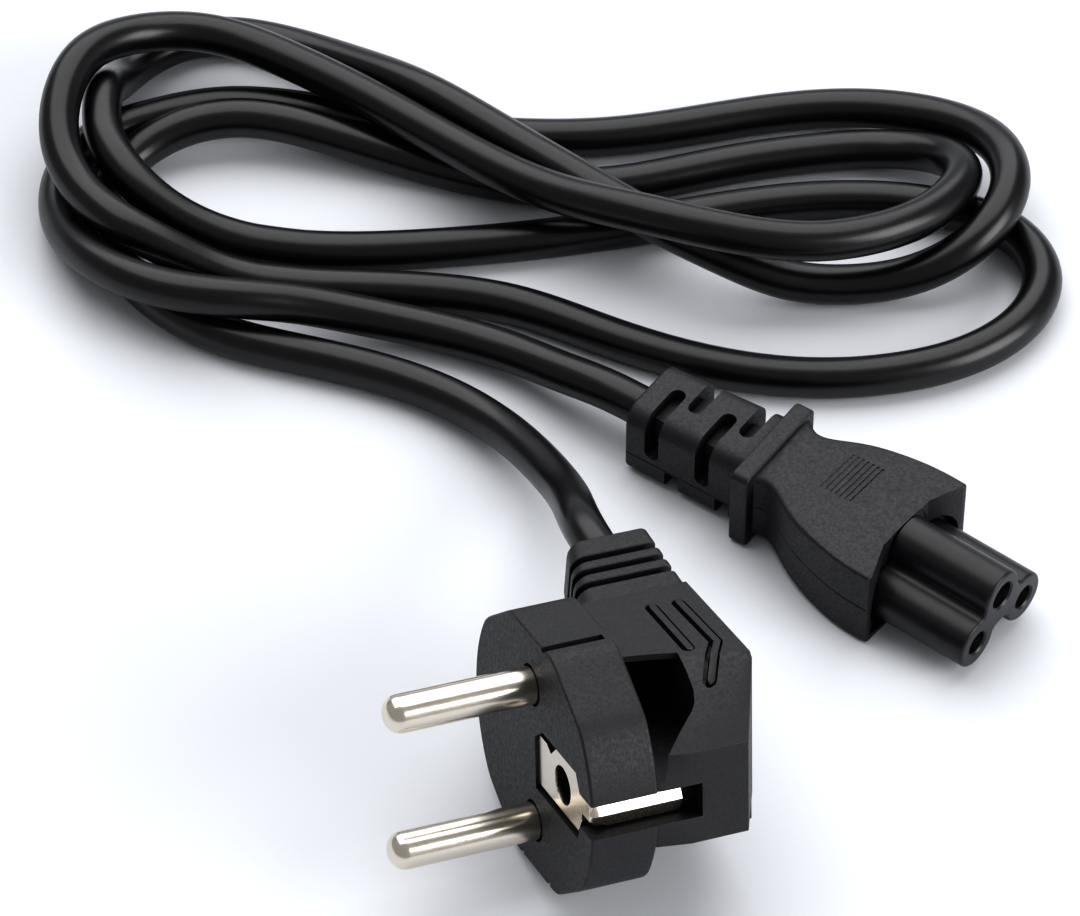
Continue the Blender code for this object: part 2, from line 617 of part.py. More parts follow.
def connector_body(parent, mat):
    """The overmoulding: housing with its waist, flange and slotted strain relief."""
    stations = [0.0, SHOULDER_FROM_FRONT]
    steps = 8
    waist_run = WAIST_FROM_FRONT - SHOULDER_FROM_FRONT
    stations += [SHOULDER_FROM_FRONT + waist_run * (step + 1) / steps for step in range(steps)]
    stations.append(HOUSING_LENGTH + OVERLAP)
    body = loft("connector_body", [housing_ring(station) for station in stations], parent)
    middle = HOUSING_HEIGHT / 2
    section = rounded_section((-FLANGE_WIDTH / 2, middle - FLANGE_HEIGHT / 2),
                              (FLANGE_WIDTH / 2, middle + FLANGE_HEIGHT / 2), (FLANGE_CORNER,) * 4)
    flange = loft("flange", [[(x, y, z) for y, z in section] for x in (-FLANGE_THICKNESS, 0.0)],
                  parent, rear_matrix(), cutter=True)
    boolean(body, flange, "UNION")
    tail = loft("tail", [tail_ring(-OVERLAP), tail_ring(TAIL_LENGTH)], parent, rear_matrix(), cutter=True)
    boolean(body, tail, "UNION")
    cut_tail_slots(body, parent)
    narrow = FRONT_RECESS_WIDTH / 2
    wide = FRONT_RECESS_WIDTH + narrow / FRONT_RECESS
    recess = [(1.0, -wide), (-FRONT_RECESS, -narrow), (-FRONT_RECESS, narrow), (1.0, wide)]
    boolean(body, plan_prism("front_recess", recess, FRONT_RECESS_FLOOR, HOUSING_HEIGHT + 1.0, parent))
    boolean(body, loft("nose_seat", [clover_ring(-NOSE_SEAT_DEPTH, NOSE_CLEARANCE),
                                     clover_ring(1.0, NOSE_CLEARANCE)], parent, cutter=True))
    finish(body, mat)
    return body


def connector_insert(parent, mat):
    """The cloverleaf nose: three round lobes on one web, each with its contact hole."""
    start = -NOSE_SEAT_DEPTH + GAP
    nose = loft("connector_insert", [clover_ring(start), clover_ring(NOSE_LENGTH - NOSE_CHAMFER),
                                     clover_ring(NOSE_LENGTH, -NOSE_CHAMFER)], parent)
    for name, across, up, radius in lobe_centres():
        boolean(nose, rod(f"hole_{name}", radius, NOSE_LENGTH - NOSE_HOLE_DEPTH, NOSE_LENGTH + 1.0, parent,
                          (across, up), sides=24))
    finish(nose, mat)
    return nose


def contact_sleeve(name, across, up, radius, parent, mat):
    """One tubular contact, sunk in its hole of the nose."""
    front = NOSE_LENGTH - SLEEVE_SUNK
    back = front - SLEEVE_LENGTH
    outer = radius - GAP
    profile = [(outer - SLEEVE_WALL, front), (outer, front), (outer, back), (outer - SLEEVE_WALL, back),
               (outer - SLEEVE_WALL, front)]
    sleeve = turned(name, profile, parent, (across, up), sides=20)
    finish(sleeve, mat)
    return sleeve


# Cord

def smooth_curve(points, start_direction, end_direction, step=0.5):
    """Points every half millimetre or so along the cubic spline through the route's points."""
    points = np.array(points, dtype=float)
    spans = np.linalg.norm(np.diff(points, axis=0), axis=1)
    count = len(points)
    system = np.zeros((count, count))
    right = np.zeros((count, 3))
    system[0, 0] = system[-1, -1] = 1.0
    right[0], right[-1] = start_direction, end_direction
    for i in range(1, count - 1):
        before, after = spans[i - 1], spans[i]
        system[i, i - 1:i + 2] = after, 2 * (before + after), before
        right[i] = 3 * (after / before * (points[i] - points[i - 1])
                        + before / after * (points[i + 1] - points[i]))
    slopes = np.linalg.solve(system, right)
    curve = []
    for i, span in enumerate(spans):
        share = np.linspace(0.0, 1.0, max(2, int(span / step)), endpoint=False)[:, None]
        curve.append((2 * share**3 - 3 * share**2 + 1) * points[i]
                     + (share**3 - 2 * share**2 + share) * span * slopes[i]
                     + (3 * share**2 - 2 * share**3) * points[i + 1]
                     + (share**3 - share**2) * span * slopes[i + 1])
    curve.append(points[-1:])
    return np.vstack(curve)


def tube_points(curve):
    """Thins the smooth curve: close points round the bends and wide ones along the straight runs."""
    lengths = np.concatenate([[0.0], np.cumsum(np.linalg.norm(np.diff(curve, axis=0), axis=1))])
    spread = 4.0
    cost = np.zeros(len(curve))
    for i in range(1, len(curve)):
        here = lengths[i]
        before = curve[np.searchsorted(lengths, max(0.0, here - spread))]
        after = curve[min(len(curve) - 1, np.searchsorted(lengths, here + spread))]
        turn = np.linalg.norm(before - 2 * curve[i] + after) / spread**2
        bent = min(1.0, turn * BEND_RADIUS_LIMIT)
        spacing = TUBE_STEP_STRAIGHT + (TUBE_STEP_IN_BENDS - TUBE_STEP_STRAIGHT) * bent
        cost[i] = cost[i - 1] + (lengths[i] - lengths[i - 1]) / spacing
    wanted = np.linspace(0.0, cost[-1], int(round(cost[-1])) + 1)
    picked = {min(len(curve) - 1, int(np.searchsorted(cost, value))) for value in wanted}
    picked.add(int(np.searchsorted(lengths, TUBE_END_STRAIGHT)))
    picked.add(int(np.searchsorted(lengths, lengths[-1] - TUBE_END_STRAIGHT)))
    return [curve[index] for index in sorted(picked)]


def cord_ends(plug, connector):
    """The cord's two ends and its directions there, from the frames of plug and connector."""
    point, direction = relief_exit()
    turn = plug.matrix_basis.to_3x3()
    plug_end = plug.matrix_basis @ (point * MM) / MM
    plug_out = (turn @ direction).normalized()
    connector_end = connector.matrix_basis @ (tail_exit() * MM) / MM
    rear = connector.matrix_basis.to_3x3() @ rear_matrix().to_3x3()
    connector_out = (rear @ Vector((-1.0, 0.0, 0.0))).normalized()
    return connector_end, connector_out, plug_end, plug_out


def cord(plug, connector, mat):
    """The round jacketed cord as one tube along its route."""
    first, first_out, last, last_out = cord_ends(plug, connector)
    shift = Vector((*LAYOUT_SHIFT, 0.0))
    points = [first + first_out * CORD_FACE_GAP, first + first_out * CORD_STRAIGHT]
    points += [Vector(point) + shift for point in ROUTE]
    points += [last + last_out * CORD_STRAIGHT, last + last_out * CORD_FACE_GAP]
    curve = smooth_curve(points, first_out, -last_out)
    data = bpy.data.curves.new("cord", "CURVE")
    data.dimensions = "3D"
    data.bevel_depth = CORD_DIAMETER / 2 * MM
    data.bevel_resolution = 3
    data.use_fill_caps = True
    stations = tube_points(curve)
    spline = data.splines.new("POLY")
    spline.points.add(len(stations) - 1)
    for target, (x, y, z) in zip(spline.points, stations):
        target.co = (x * MM, y * MM, z * MM, 1.0)
    data.materials.append(mat)
    obj = bpy.data.objects.new("cord", data)
    bpy.data.collections[PARTS].objects.link(obj)
    return obj


# Placing

def lowest_point(objects):
    """Lowest height of the evaluated objects, in metres."""
    bpy.context.view_layer.update()
    graph = bpy.context.evaluated_depsgraph_get()
    heights = []
    for obj in objects:
        evaluated = obj.evaluated_get(graph)
        heights += [(evaluated.matrix_world @ vertex.co).z for vertex in evaluated.data.vertices]
    return min(heights)


def place(empty, at, turn, objects):
    """Lays a frame on the floor: its lowest point ends just above it."""
    empty.rotation_euler = turn
    empty.location = ((at[0] + LAYOUT_SHIFT[0]) * MM, (at[1] + LAYOUT_SHIFT[1]) * MM, 0.0)
    empty.location.z = FLOOR_CLEARANCE * MM - lowest_point(objects)
    bpy.context.view_layer.update()


def main():
    clear_scene()
    black = material("moulded_black_pvc", (0.022, 0.022, 0.025), 0.55)
    glossy = material("glossy_black_pvc", (0.012, 0.012, 0.014), 0.3)
    nose_black = material("nose_black_pvc", (0.016, 0.016, 0.018), 0.35)
    nickel = material("nickel_plated_brass", (0.78, 0.74, 0.68), 0.22, 1.0)

    plug = frame_empty("plug_frame")
    pieces = [plug_body(plug, black), earth_contact(plug, nickel),
              contact_pin("line_pin", 1, plug, nickel), contact_pin("neutral_pin", -1, plug, nickel)]
    place(plug, PLUG_AT, Euler((PLUG_ROLL, PLUG_PITCH, PLUG_TURN)), pieces)

    connector = frame_empty("connector_frame")
    pieces = [connector_body(connector, black), connector_insert(connector, nose_black)]
    for name, across, up, radius in lobe_centres():
        pieces.append(contact_sleeve(f"{name}_sleeve", across, up, radius, connector, nickel))
    place(connector, CONNECTOR_AT, Euler((0.0, 0.0, CONNECTOR_TURN)), pieces)

    cord(plug, connector, glossy)


main()
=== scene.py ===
"""Cloverleaf mains lead: the moulded plug, cord and appliance connector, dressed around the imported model.

Run as a script it builds every piece in order. The pieces are drawn in millimetres in their own frames: the
plug has X out along its pins, Y towards the earth hole and Z along the line of the pins; the connector has
X out of its nose, Y across and Z up from the floor.
"""
import math

import bmesh
import bpy
import numpy as np
from bpy.props import FloatProperty, FloatVectorProperty, IntProperty, PointerProperty
from mathutils import Euler, Matrix, Vector


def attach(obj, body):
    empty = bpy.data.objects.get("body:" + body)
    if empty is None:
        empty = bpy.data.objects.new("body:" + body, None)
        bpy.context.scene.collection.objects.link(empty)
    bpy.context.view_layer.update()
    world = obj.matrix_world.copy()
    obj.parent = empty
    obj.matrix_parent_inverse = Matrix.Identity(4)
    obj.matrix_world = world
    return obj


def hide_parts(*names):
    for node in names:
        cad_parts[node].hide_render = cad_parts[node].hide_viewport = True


bl_info = {
    "name": "Cloverleaf Mains Lead",
    "version": (1, 0, 0),
    "blender": (4, 5, 0),
    "location": "View3D > Sidebar > Mains Lead",
    "description": "Builds a moulded mains lead with an angled earthed plug and a cloverleaf connector",
    "category": "Object",
}

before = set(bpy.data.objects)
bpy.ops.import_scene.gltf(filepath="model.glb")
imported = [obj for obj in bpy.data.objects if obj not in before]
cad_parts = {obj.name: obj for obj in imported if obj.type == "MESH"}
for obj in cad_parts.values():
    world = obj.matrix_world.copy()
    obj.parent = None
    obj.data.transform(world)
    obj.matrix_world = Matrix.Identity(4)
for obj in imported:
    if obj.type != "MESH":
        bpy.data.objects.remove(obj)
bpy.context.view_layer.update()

MM = 0.001
GAP = 0.3
MERGE_DISTANCE = 0.004 * MM
SHARP_ANGLE = math.radians(32.0)

# Where the plug's and the connector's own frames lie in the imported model, as part.py places them
PLUG_FRAME = (Matrix.Translation(Vector((-23.23, -28.14, 18.632)) * MM)
              @ Euler((math.radians(18.8), math.radians(-6.4), math.radians(201.4))).to_matrix().to_4x4())
CONNECTOR_FRAME = (Matrix.Translation(Vector((25.77, 13.76, 0.02)) * MM)
                   @ Matrix.Rotation(math.radians(-38.9), 4, "Z"))
# The connector's flange and strain relief lie a little to one side of its housing, and a little turned
HOUSING_LENGTH = 22.6
REAR_ACROSS = 0.9
REAR_FRAME = (CONNECTOR_FRAME @ Matrix.Translation(Vector((-HOUSING_LENGTH, REAR_ACROSS, 0.0)) * MM)
              @ Matrix.Rotation(math.radians(4.0), 4, "Z"))

# The cord's route from the connector to the plug: part.py's own points, in millimetres
ROUTE_SHIFT = (-22.33, 38.16)
ROUTE = [
    (2.8, 11.0, 5.0), (-5.0, 16.5, 3.6), (-15.0, 20.1, 3.7), (-25.0, 21.8, 4.9), (-33.0, 22.0, 6.7),
    (-40.5, 21.2, 8.5), (-48.0, 22.0, 9.0), (-56.0, 25.9, 8.3), (-61.8, 32.6, 6.2), (-65.4, 42.0, 3.4),
    (-65.2, 51.0, 2.8), (-61.4, 57.4, 2.8), (-53.6, 61.8, 2.8), (-44.0, 64.2, 2.8), (-32.0, 63.1, 2.8),
    (-18.0, 59.9, 2.8), (-3.0, 57.9, 2.8), (10.0, 58.2, 2.8), (24.0, 61.0, 2.8), (38.0, 63.4, 3.0),
    (50.0, 61.6, 4.4), (58.1, 57.0, 6.2), (63.0, 49.5, 8.4), (63.4, 40.8, 9.0), (58.9, 33.7, 7.2),
    (51.0, 30.2, 4.2), (42.0, 29.2, 3.0), (33.0, 29.2, 4.0), (25.0, 30.9, 6.6), (16.0, 35.2, 8.5),
    (5.0, 43.5, 9.0), (-6.0, 52.7, 9.0), (-16.0, 61.0, 8.7), (-26.3, 70.0, 5.4), (-36.0, 76.6, 3.0),
    (-45.0, 78.5, 2.8), (-52.2, 76.2, 2.8), (-57.2, 71.2, 3.1), (-59.2, 66.0, 5.3), (-60.0, 61.2, 8.4),
    (-60.0, 55.0, 9.0), (-57.4, 47.0, 8.9), (-51.5, 41.2, 6.4), (-43.0, 38.2, 3.3), (-30.0, 35.8, 2.8),
    (-15.0, 36.2, 2.8), (0.0, 38.0, 2.8), (15.0, 41.0, 2.8), (30.0, 44.4, 2.8), (43.0, 45.6, 2.8),
    (55.2, 44.0, 2.8), (64.1, 39.3, 2.8), (67.7, 31.4, 2.8), (65.3, 23.4, 2.8), (57.8, 16.6, 2.8),
    (47.0, 12.8, 2.8), (35.0, 12.0, 2.8), (22.0, 14.4, 2.8), (9.0, 19.7, 2.8), (-4.0, 25.7, 2.8),
    (-16.0, 27.9, 2.8), (-29.0, 28.7, 2.8), (-42.0, 30.6, 3.4), (-50.5, 32.4, 7.0), (-56.5, 35.0, 9.1),
    (-61.6, 40.6, 9.2), (-65.0, 47.9, 10.0), (-65.5, 55.6, 11.7), (-62.9, 63.2, 12.9), (-56.1, 69.8, 11.2),
    (-46.5, 71.9, 9.5), (-35.0, 67.4, 8.7), (-23.0, 58.8, 9.0), (-10.0, 48.0, 9.6), (2.0, 38.4, 11.4),
    (14.0, 31.6, 14.0), (26.0, 27.8, 14.0), (37.0, 27.6, 12.8), (46.2, 30.6, 11.8), (53.2, 36.0, 10.6),
    (57.2, 43.2, 9.1), (55.8, 50.6, 6.0), (48.5, 55.2, 3.2), (38.0, 54.9, 2.8), (24.0, 52.0, 2.8),
    (9.0, 48.3, 2.8), (-5.0, 49.2, 2.8), (-17.0, 53.0, 3.0), (-30.0, 56.6, 5.0), (-41.0, 58.6, 5.9),
    (-50.3, 57.0, 5.0), (-57.2, 52.0, 3.1), (-59.6, 43.6, 2.8), (-57.3, 34.8, 2.8), (-51.5, 26.5, 2.8),
    (-43.0, 20.2, 2.8), (-32.0, 16.3, 2.8), (-21.0, 12.7, 2.8), (-12.2, 8.2, 3.0), (-5.6, 1.9, 4.2),
    (-0.6, -6.4, 7.0), (3.4, -16.6, 11.2),
]
CORD_END_GAP = 0.3
CORD_STRAIGHT = 6.0
CORD_POINT_SPACING = 1.2

# The camera: as the photograph was taken, aimed at the ground point that the route is measured from
CAMERA_AIM = ROUTE_SHIFT
CAMERA_ELEVATION = math.radians(47.0)
CAMERA_DISTANCE = 750.0
CAMERA_LENS = 190.0


# Settings

def linear(code):
    """Linear red, green and blue of an sRGB hex colour."""
    values = [int(code[i:i + 2], 16) / 255 for i in (1, 3, 5)]
    return tuple(v / 12.92 if v <= 0.04045 else ((v + 0.055) / 1.055) ** 2.4 for v in values)


def length(name, description, millimetres):
    """A length setting whose default is given in millimetres."""
    return FloatProperty(name=name, description=description, default=millimetres * MM, min=0.0,
                         precision=5, subtype="DISTANCE", unit="LENGTH")


def colour(name, description, code):
    """A colour setting whose default is an sRGB hex value."""
    return FloatVectorProperty(name=name, description=description, default=linear(code), size=3,
                               min=0.0, max=1.0, subtype="COLOR")


class PlugSettings(bpy.types.PropertyGroup):
    """Sizes of the angled plug."""
    face_radius: length("Face radius", "Radius of the plug's round face", 18.7)
    face_half_height: length("Face half height", "From the plug's middle to each flat of its face", 16.5)
    disc_thickness: length("Disc thickness", "Depth of the round part behind the face", 8.7)
    body_depth: length("Body depth", "From the face to the back of the body", 24.5)
    pin_radius: length("Pin radius", "Radius of the round pins", 2.4)
    pin_length: length("Pin length", "How far the pins stand out of the face", 19.0)
    pin_pitch: length("Pin pitch", "Distance between the pins' axes", 19.0)
    earth_offset: length("Earth hole offset", "From the line of the pins to the earth hole", 8.6)


class ConnectorSettings(bpy.types.PropertyGroup):
    """Sizes of the cloverleaf connector."""
    housing_height: length("Housing height", "Height of the housing at its front", 12.8)
    nose_length: length("Nose length", "How far the nose stands out of the housing", 13.4)
    lobe_radius: length("Lobe radius", "Radius of each lobe of the nose", 3.5)
    line_pitch: length("Line pitch", "Distance between the line and neutral contacts", 10.0)
    earth_rise: length("Earth rise", "How far the earth contact sits above the other two", 4.7)


class CordSettings(bpy.types.PropertyGroup):
    """Sizes of the cord."""
    diameter: length("Diameter", "Diameter of the cord's jacket", 5.5)
    sides: IntProperty(name="Sides", description="Faces around the cord", default=32, min=8, max=64)


class FinishSettings(bpy.types.PropertyGroup):
    """Colours of the lead's materials and of the stage."""
    moulding: colour("Moulding", "Matt moulded PVC of the plug and connector", "#1b1b1f")
    jacket: colour("Jacket", "Extruded PVC jacket of the cord", "#0c0c0f")
    nose: colour("Nose", "Semi-gloss moulded plastic of the nose", "#1a1a1d")
    plating: colour("Plating", "Nickel plating of the pins and contacts", "#dcd5c9")
    floor: colour("Floor", "Pale studio floor", "#dbdde2")


class LeadSettings(bpy.types.PropertyGroup):
    """All settings of the mains lead."""
    plug: PointerProperty(type=PlugSettings, name="Plug", description="Sizes of the plug")
    connector: PointerProperty(type=ConnectorSettings, name="Connector", description="Connector sizes")
    cord: PointerProperty(type=CordSettings, name="Cord", description="Sizes of the cord")
    finish: PointerProperty(type=FinishSettings, name="Finish", description="Colours")


# Materials

def node(tree, kind, settings=None, **inputs):
    """Adds a shader node, and sets or links its inputs by name or, after an underscore, by number."""
    made = tree.nodes.new(kind)
    for name, value in (settings or {}).items():
        setattr(made, name, value)
    for name, value in inputs.items():
        socket = made.inputs[int(name[1:]) if name[0] == "_" else name.replace("_", " ")]
        if isinstance(value, bpy.types.NodeSocket):
            tree.links.new(value, socket)
        else:
            socket.default_value = value
    return made


def new_material(name, base, roughness, metallic=0.0, ior=1.5):
    """A material with its Principled shader, and the tree's object coordinates."""
    made = bpy.data.materials.new(name)
    made.use_nodes = True
    tree = made.node_tree
    shader = tree.nodes["Principled BSDF"]
    shader.inputs["Base Color"].default_value = (*base, 1.0)
    shader.inputs["Roughness"].default_value = roughness
    shader.inputs["Metallic"].default_value = metallic
    shader.inputs["IOR"].default_value = ior
    made.diffuse_color = (*base, 1.0)
    return made, tree, shader, node(tree, "ShaderNodeTexCoord").outputs["Object"]


def noise(tree, where, millimetres, detail, **more):
    """A noise pattern with features about this many millimetres across."""
    return node(tree, "ShaderNodeTexNoise", Vector=where, Scale=1.0 / (millimetres * MM), Detail=detail,
                **more).outputs["Fac"]


def vary_roughness(tree, shader, pattern, low, high, **span):
    """Lets a pattern vary the shader's roughness between two values."""
    rough = node(tree, "ShaderNodeMapRange", Value=pattern, To_Min=low, To_Max=high, **span)
    tree.links.new(rough.outputs["Result"], shader.inputs["Roughness"])


def emboss(tree, shader, pattern, strength, depth):
    """Lets a pattern raise the surface by a depth in millimetres, on top of any relief it has."""
    bump = node(tree, "ShaderNodeBump", Strength=strength, Distance=depth * MM, Height=pattern)
    for link in shader.inputs["Normal"].links:
        tree.links.new(link.from_socket, bump.inputs["Normal"])
    tree.links.new(bump.outputs["Normal"], shader.inputs["Normal"])


def moulded_pvc(base):
    """Soft black PVC moulded in a spark-eroded tool: an even, fine matt grain with faint cloudy mottling."""
    made, tree, shader, where = new_material("moulded_pvc_spark_eroded", base, 0.55, ior=1.53)
    tint = node(tree, "ShaderNodeMix", {"data_type": "RGBA"}, _0=noise(tree, where, 5.0, 3.0, Roughness=0.55),
                _6=(*(v * 0.75 for v in base), 1.0), _7=(*(v * 1.3 for v in base), 1.0))
    tree.links.new(tint.outputs[2], shader.inputs["Base Color"])
    vary_roughness(tree, shader, noise(tree, where, 0.45, 2.0), 0.44, 0.64, From_Min=0.3, From_Max=0.7)
    emboss(tree, shader, noise(tree, where, 0.28, 3.0, Roughness=0.6), 0.6, 0.06)
    return made


def extruded_pvc(base):
    """Black PVC jacket straight from the extruder: glossy, with faint long waves over the wires inside."""
    made, tree, shader, where = new_material("extruded_pvc_jacket", base, 0.3, ior=1.53)
    vary_roughness(tree, shader, noise(tree, where, 0.9, 2.0), 0.26, 0.34)
    along = node(tree, "ShaderNodeMapping", Vector=tree.nodes["Texture Coordinate"].outputs["UV"],
                 Scale=(1.5, 16.0, 1.0))
    lines = node(tree, "ShaderNodeTexNoise", Vector=along.outputs["Vector"], Scale=1.0, Detail=3.0)
    emboss(tree, shader, lines.outputs["Fac"], 0.5, 0.06)
    emboss(tree, shader, noise(tree, where, 9.0, 1.0), 0.25, 0.25)
    return made


def polished_nose_plastic(base):
    """Hard black plastic moulded in a polished tool: smoother and brighter than the soft overmoulding."""
    made, tree, shader, where = new_material("moulded_nose_plastic", base, 0.36)
    vary_roughness(tree, shader, noise(tree, where, 3.0, 3.0), 0.3, 0.44)
    emboss(tree, shader, noise(tree, where, 0.4, 2.0), 0.08, 0.04)
    return made


def nickel_plate(name, base, stretch, roughness):
    """Nickel-plated brass: bright and slightly warm, with fine marks from turning or rolling."""
    made, tree, shader, where = new_material(name, base, roughness, metallic=1.0)
    along = node(tree, "ShaderNodeMapping", {"vector_type": "TEXTURE"}, Vector=where,
                 Rotation=PLUG_FRAME.to_euler(), Scale=stretch)
    marks = noise(tree, along.outputs["Vector"], 0.35, 3.0)
    vary_roughness(tree, shader, marks, roughness * 0.75, roughness * 1.35)
    emboss(tree, shader, marks, 0.07, 0.03)
    return made


# Solids

def add_object(name, data):
    """Adds an object with its data to the scene."""
    made = bpy.data.objects.new(name, data)
    bpy.context.scene.collection.objects.link(made)
    return made


def mesh_object(name, bm, place):
    """A mesh object drawn in millimetres in its own frame."""
    bmesh.ops.recalc_face_normals(bm, faces=bm.faces)
    bmesh.ops.transform(bm, matrix=Matrix.Scale(MM, 4), verts=bm.verts)
    mesh = bpy.data.meshes.new(name)
    bm.to_mesh(mesh)
    bm.free()
    made = add_object(name, mesh)
    made.matrix_world = place
    return made


def settle(made):
    """Applies a piece's modifiers to its mesh."""
    bpy.context.view_layer.update()
    graph = bpy.context.evaluated_depsgraph_get()
    mesh = bpy.data.meshes.new_from_object(made.evaluated_get(graph), depsgraph=graph)
    made.modifiers.clear()
    old = made.data
    mesh.name = made.name
    made.data = mesh
    bpy.data.meshes.remove(old)


def combine(made, tools, operation="DIFFERENCE"):
    """Cuts or joins tools with a piece one by one, and deletes them."""
    for tool in tools:
        modifier = made.modifiers.new(tool.name, "BOOLEAN")
        modifier.operation = operation
        modifier.solver = "EXACT"
        modifier.object = tool
        settle(made)
        merge_close(made)
    for tool in tools:
        bpy.data.objects.remove(tool, do_unlink=True)


def merge_close(made):
    """Merges the almost coincident points that a cut leaves behind."""
    bm = bmesh.new()
    bm.from_mesh(made.data)
    bmesh.ops.remove_doubles(bm, verts=bm.verts, dist=MERGE_DISTANCE)
    bmesh.ops.dissolve_degenerate(bm, edges=bm.edges, dist=MERGE_DISTANCE)
    bm.to_mesh(made.data)
    bm.free()


def round_edges(made, width, segments=2, angle=SHARP_ANGLE):
    """Rounds the edges sharper than an angle by a width in millimetres."""
    modifier = made.modifiers.new("rounded_edges", "BEVEL")
    modifier.width = width * MM
    modifier.segments = segments
    modifier.limit_method = "ANGLE"
    modifier.angle_limit = angle
    modifier.use_clamp_overlap = True
    modifier.miter_outer = "MITER_ARC"
    settle(made)


def dress(made, mat, nodes):
    """Shades a finished piece, gives it its material, and puts it in place of its plain solids."""
    made.data.materials.clear()
    made.data.materials.append(mat)
    made.data.shade_smooth()
    made.data.set_sharp_from_angle(angle=SHARP_ANGLE)
    normals = made.modifiers.new("even_normals", "WEIGHTED_NORMAL")
    normals.keep_sharp = True
    settle(made)
    made.data.transform(made.matrix_world)
    made.matrix_world = Matrix.Identity(4)
    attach(made, "root")
    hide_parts(*nodes)


def prism(name, outline, low, high, place, axis="X"):
    """A solid with an outline of points, drawn from one depth to another along an axis."""
    order = {"X": lambda u, v, w: (w, u, v), "Y": lambda u, v, w: (u, w, v),
             "Z": lambda u, v, w: (u, v, w)}[axis]
    return lofted(name, [[order(u, v, depth) for u, v in outline] for depth in (low, high)], place)


def box(name, low, high, place):
    """A box between two corners."""
    (x0, y0, z0), (x1, y1, z1) = low, high
    return prism(name, [(y0, z0), (y1, z0), (y1, z1), (y0, z1)], x0, x1, place)


def lofted(name, rings, place):
    """A solid skinned over like rings of points, with flat ends."""
    bm = bmesh.new()
    rows = [[bm.verts.new(point) for point in ring] for ring in rings]
    count = len(rings[0])
    for first, second in zip(rows, rows[1:]):
        for i in range(count):
            j = (i + 1) % count
            bm.faces.new((first[i], first[j], second[j], second[i]))
    bm.faces.new(rows[0][::-1])
    bm.faces.new(rows[-1])
    return mesh_object(name, bm, place)


def circle(radius, centre=(0.0, 0.0), sides=48):
    """Points round a circle."""
    return [(centre[0] + radius * math.cos(2 * math.pi * i / sides),
             centre[1] + radius * math.sin(2 * math.pi * i / sides)) for i in range(sides)]


def arc(centre, radius, start, end, steps):
    """Points on an arc between two angles, both ends included."""
    return [(centre[0] + radius * math.cos(start + (end - start) * i / steps),
             centre[1] + radius * math.sin(start + (end - start) * i / steps)) for i in range(steps + 1)]


def rounded_rectangle(low, high, radii, steps=6):
    """Outline of a rectangle with its own radius at each corner, from the upper right one round."""
    points = []
    for number, radius in enumerate(radii):
        centre = (high[0] - radius if number in (0, 3) else low[0] + radius,
                  high[1] - radius if number in (0, 1) else low[1] + radius)
        points += arc(centre, radius, math.pi / 2 * number, math.pi / 2 * (number + 1), steps)
    return points


def slot_outline(start, end, width, steps=8):
    """Outline of a slot between two points, with a round start and a square end."""
    start, end = Vector(start), Vector(end)
    along = (end - start).normalized()
    across = Vector((-along.y, along.x))
    half = width / 2
    points = []
    for step in range(steps + 1):
        angle = math.pi / 2 + math.pi * step / steps
        points.append(start + along * half * math.cos(angle) + across * half * math.sin(angle))
    points += [end - across * half, end + across * half]
    return [tuple(point) for point in points]


def rounded_stations(start, end, start_radius, end_radius, steps=4):
    """Stations along a solid with the inset of its outline at each, so that both rims are rounded."""
    stations = []
    for step in range(steps + 1):
        angle = math.pi / 2 * step / steps
        stations.append((start + start_radius * (1 - math.cos(angle)), start_radius * (1 - math.sin(angle))))
    for step in range(steps, -1, -1):
        angle = math.pi / 2 * step / steps
        stations.append((end - end_radius * (1 - math.cos(angle)), end_radius * (1 - math.sin(angle))))
    return stations


def spline(points, start_slope, end_slope, spacing):
    """Points along the smooth cubic curve through given ones, about one spacing apart."""
    points = np.array(points, dtype=float)
    spans = np.linalg.norm(np.diff(points, axis=0), axis=1)
    count = len(points)
    system = np.zeros((count, count))
    right = np.zeros(points.shape)
    system[0, 0] = system[-1, -1] = 1.0
    right[0], right[-1] = start_slope, end_slope
    for i in range(1, count - 1):
        before, after = spans[i - 1], spans[i]
        system[i, i - 1:i + 2] = after, 2 * (before + after), before
        right[i] = 3 * (after / before * (points[i] - points[i - 1])
                        + before / after * (points[i + 1] - points[i]))
    slopes = np.linalg.solve(system, right)
    pieces = []
    for i, span in enumerate(spans):
        t = np.linspace(0.0, 1.0, max(2, int(round(span / spacing))), endpoint=False)[:, None]
        pieces.append((2 * t**3 - 3 * t**2 + 1) * points[i] + (t**3 - 2 * t**2 + t) * span * slopes[i]
                      + (3 * t**2 - 2 * t**3) * points[i + 1] + (t**3 - t**2) * span * slopes[i + 1])
    pieces.append(points[-1:])
    return np.vstack(pieces)


def turned(name, profile, place, centre, sides=48):
    """A turned solid about X from (radius, station) points, closed where the radius is zero."""
    bm = bmesh.new()
    rows = []
    for radius, station in profile:
        if radius == 0.0:
            rows.append([bm.verts.new((station, centre[0], centre[1]))])
        else:
            rows.append([bm.verts.new((station, y, z)) for y, z in circle(radius, centre, sides)])
    pairs = list(zip(rows, rows[1:]))
    if len(rows[0]) > 1:
        pairs.append((rows[-1], rows[0]))
    for first, second in pairs:
        for i in range(sides):
            j = (i + 1) % sides
            corners = [first[i % len(first)], first[j % len(first)], second[j % len(second)],
                       second[i % len(second)]]
            bm.faces.new(list(dict.fromkeys(corners)))
    return mesh_object(name, bm, place)


# Plug

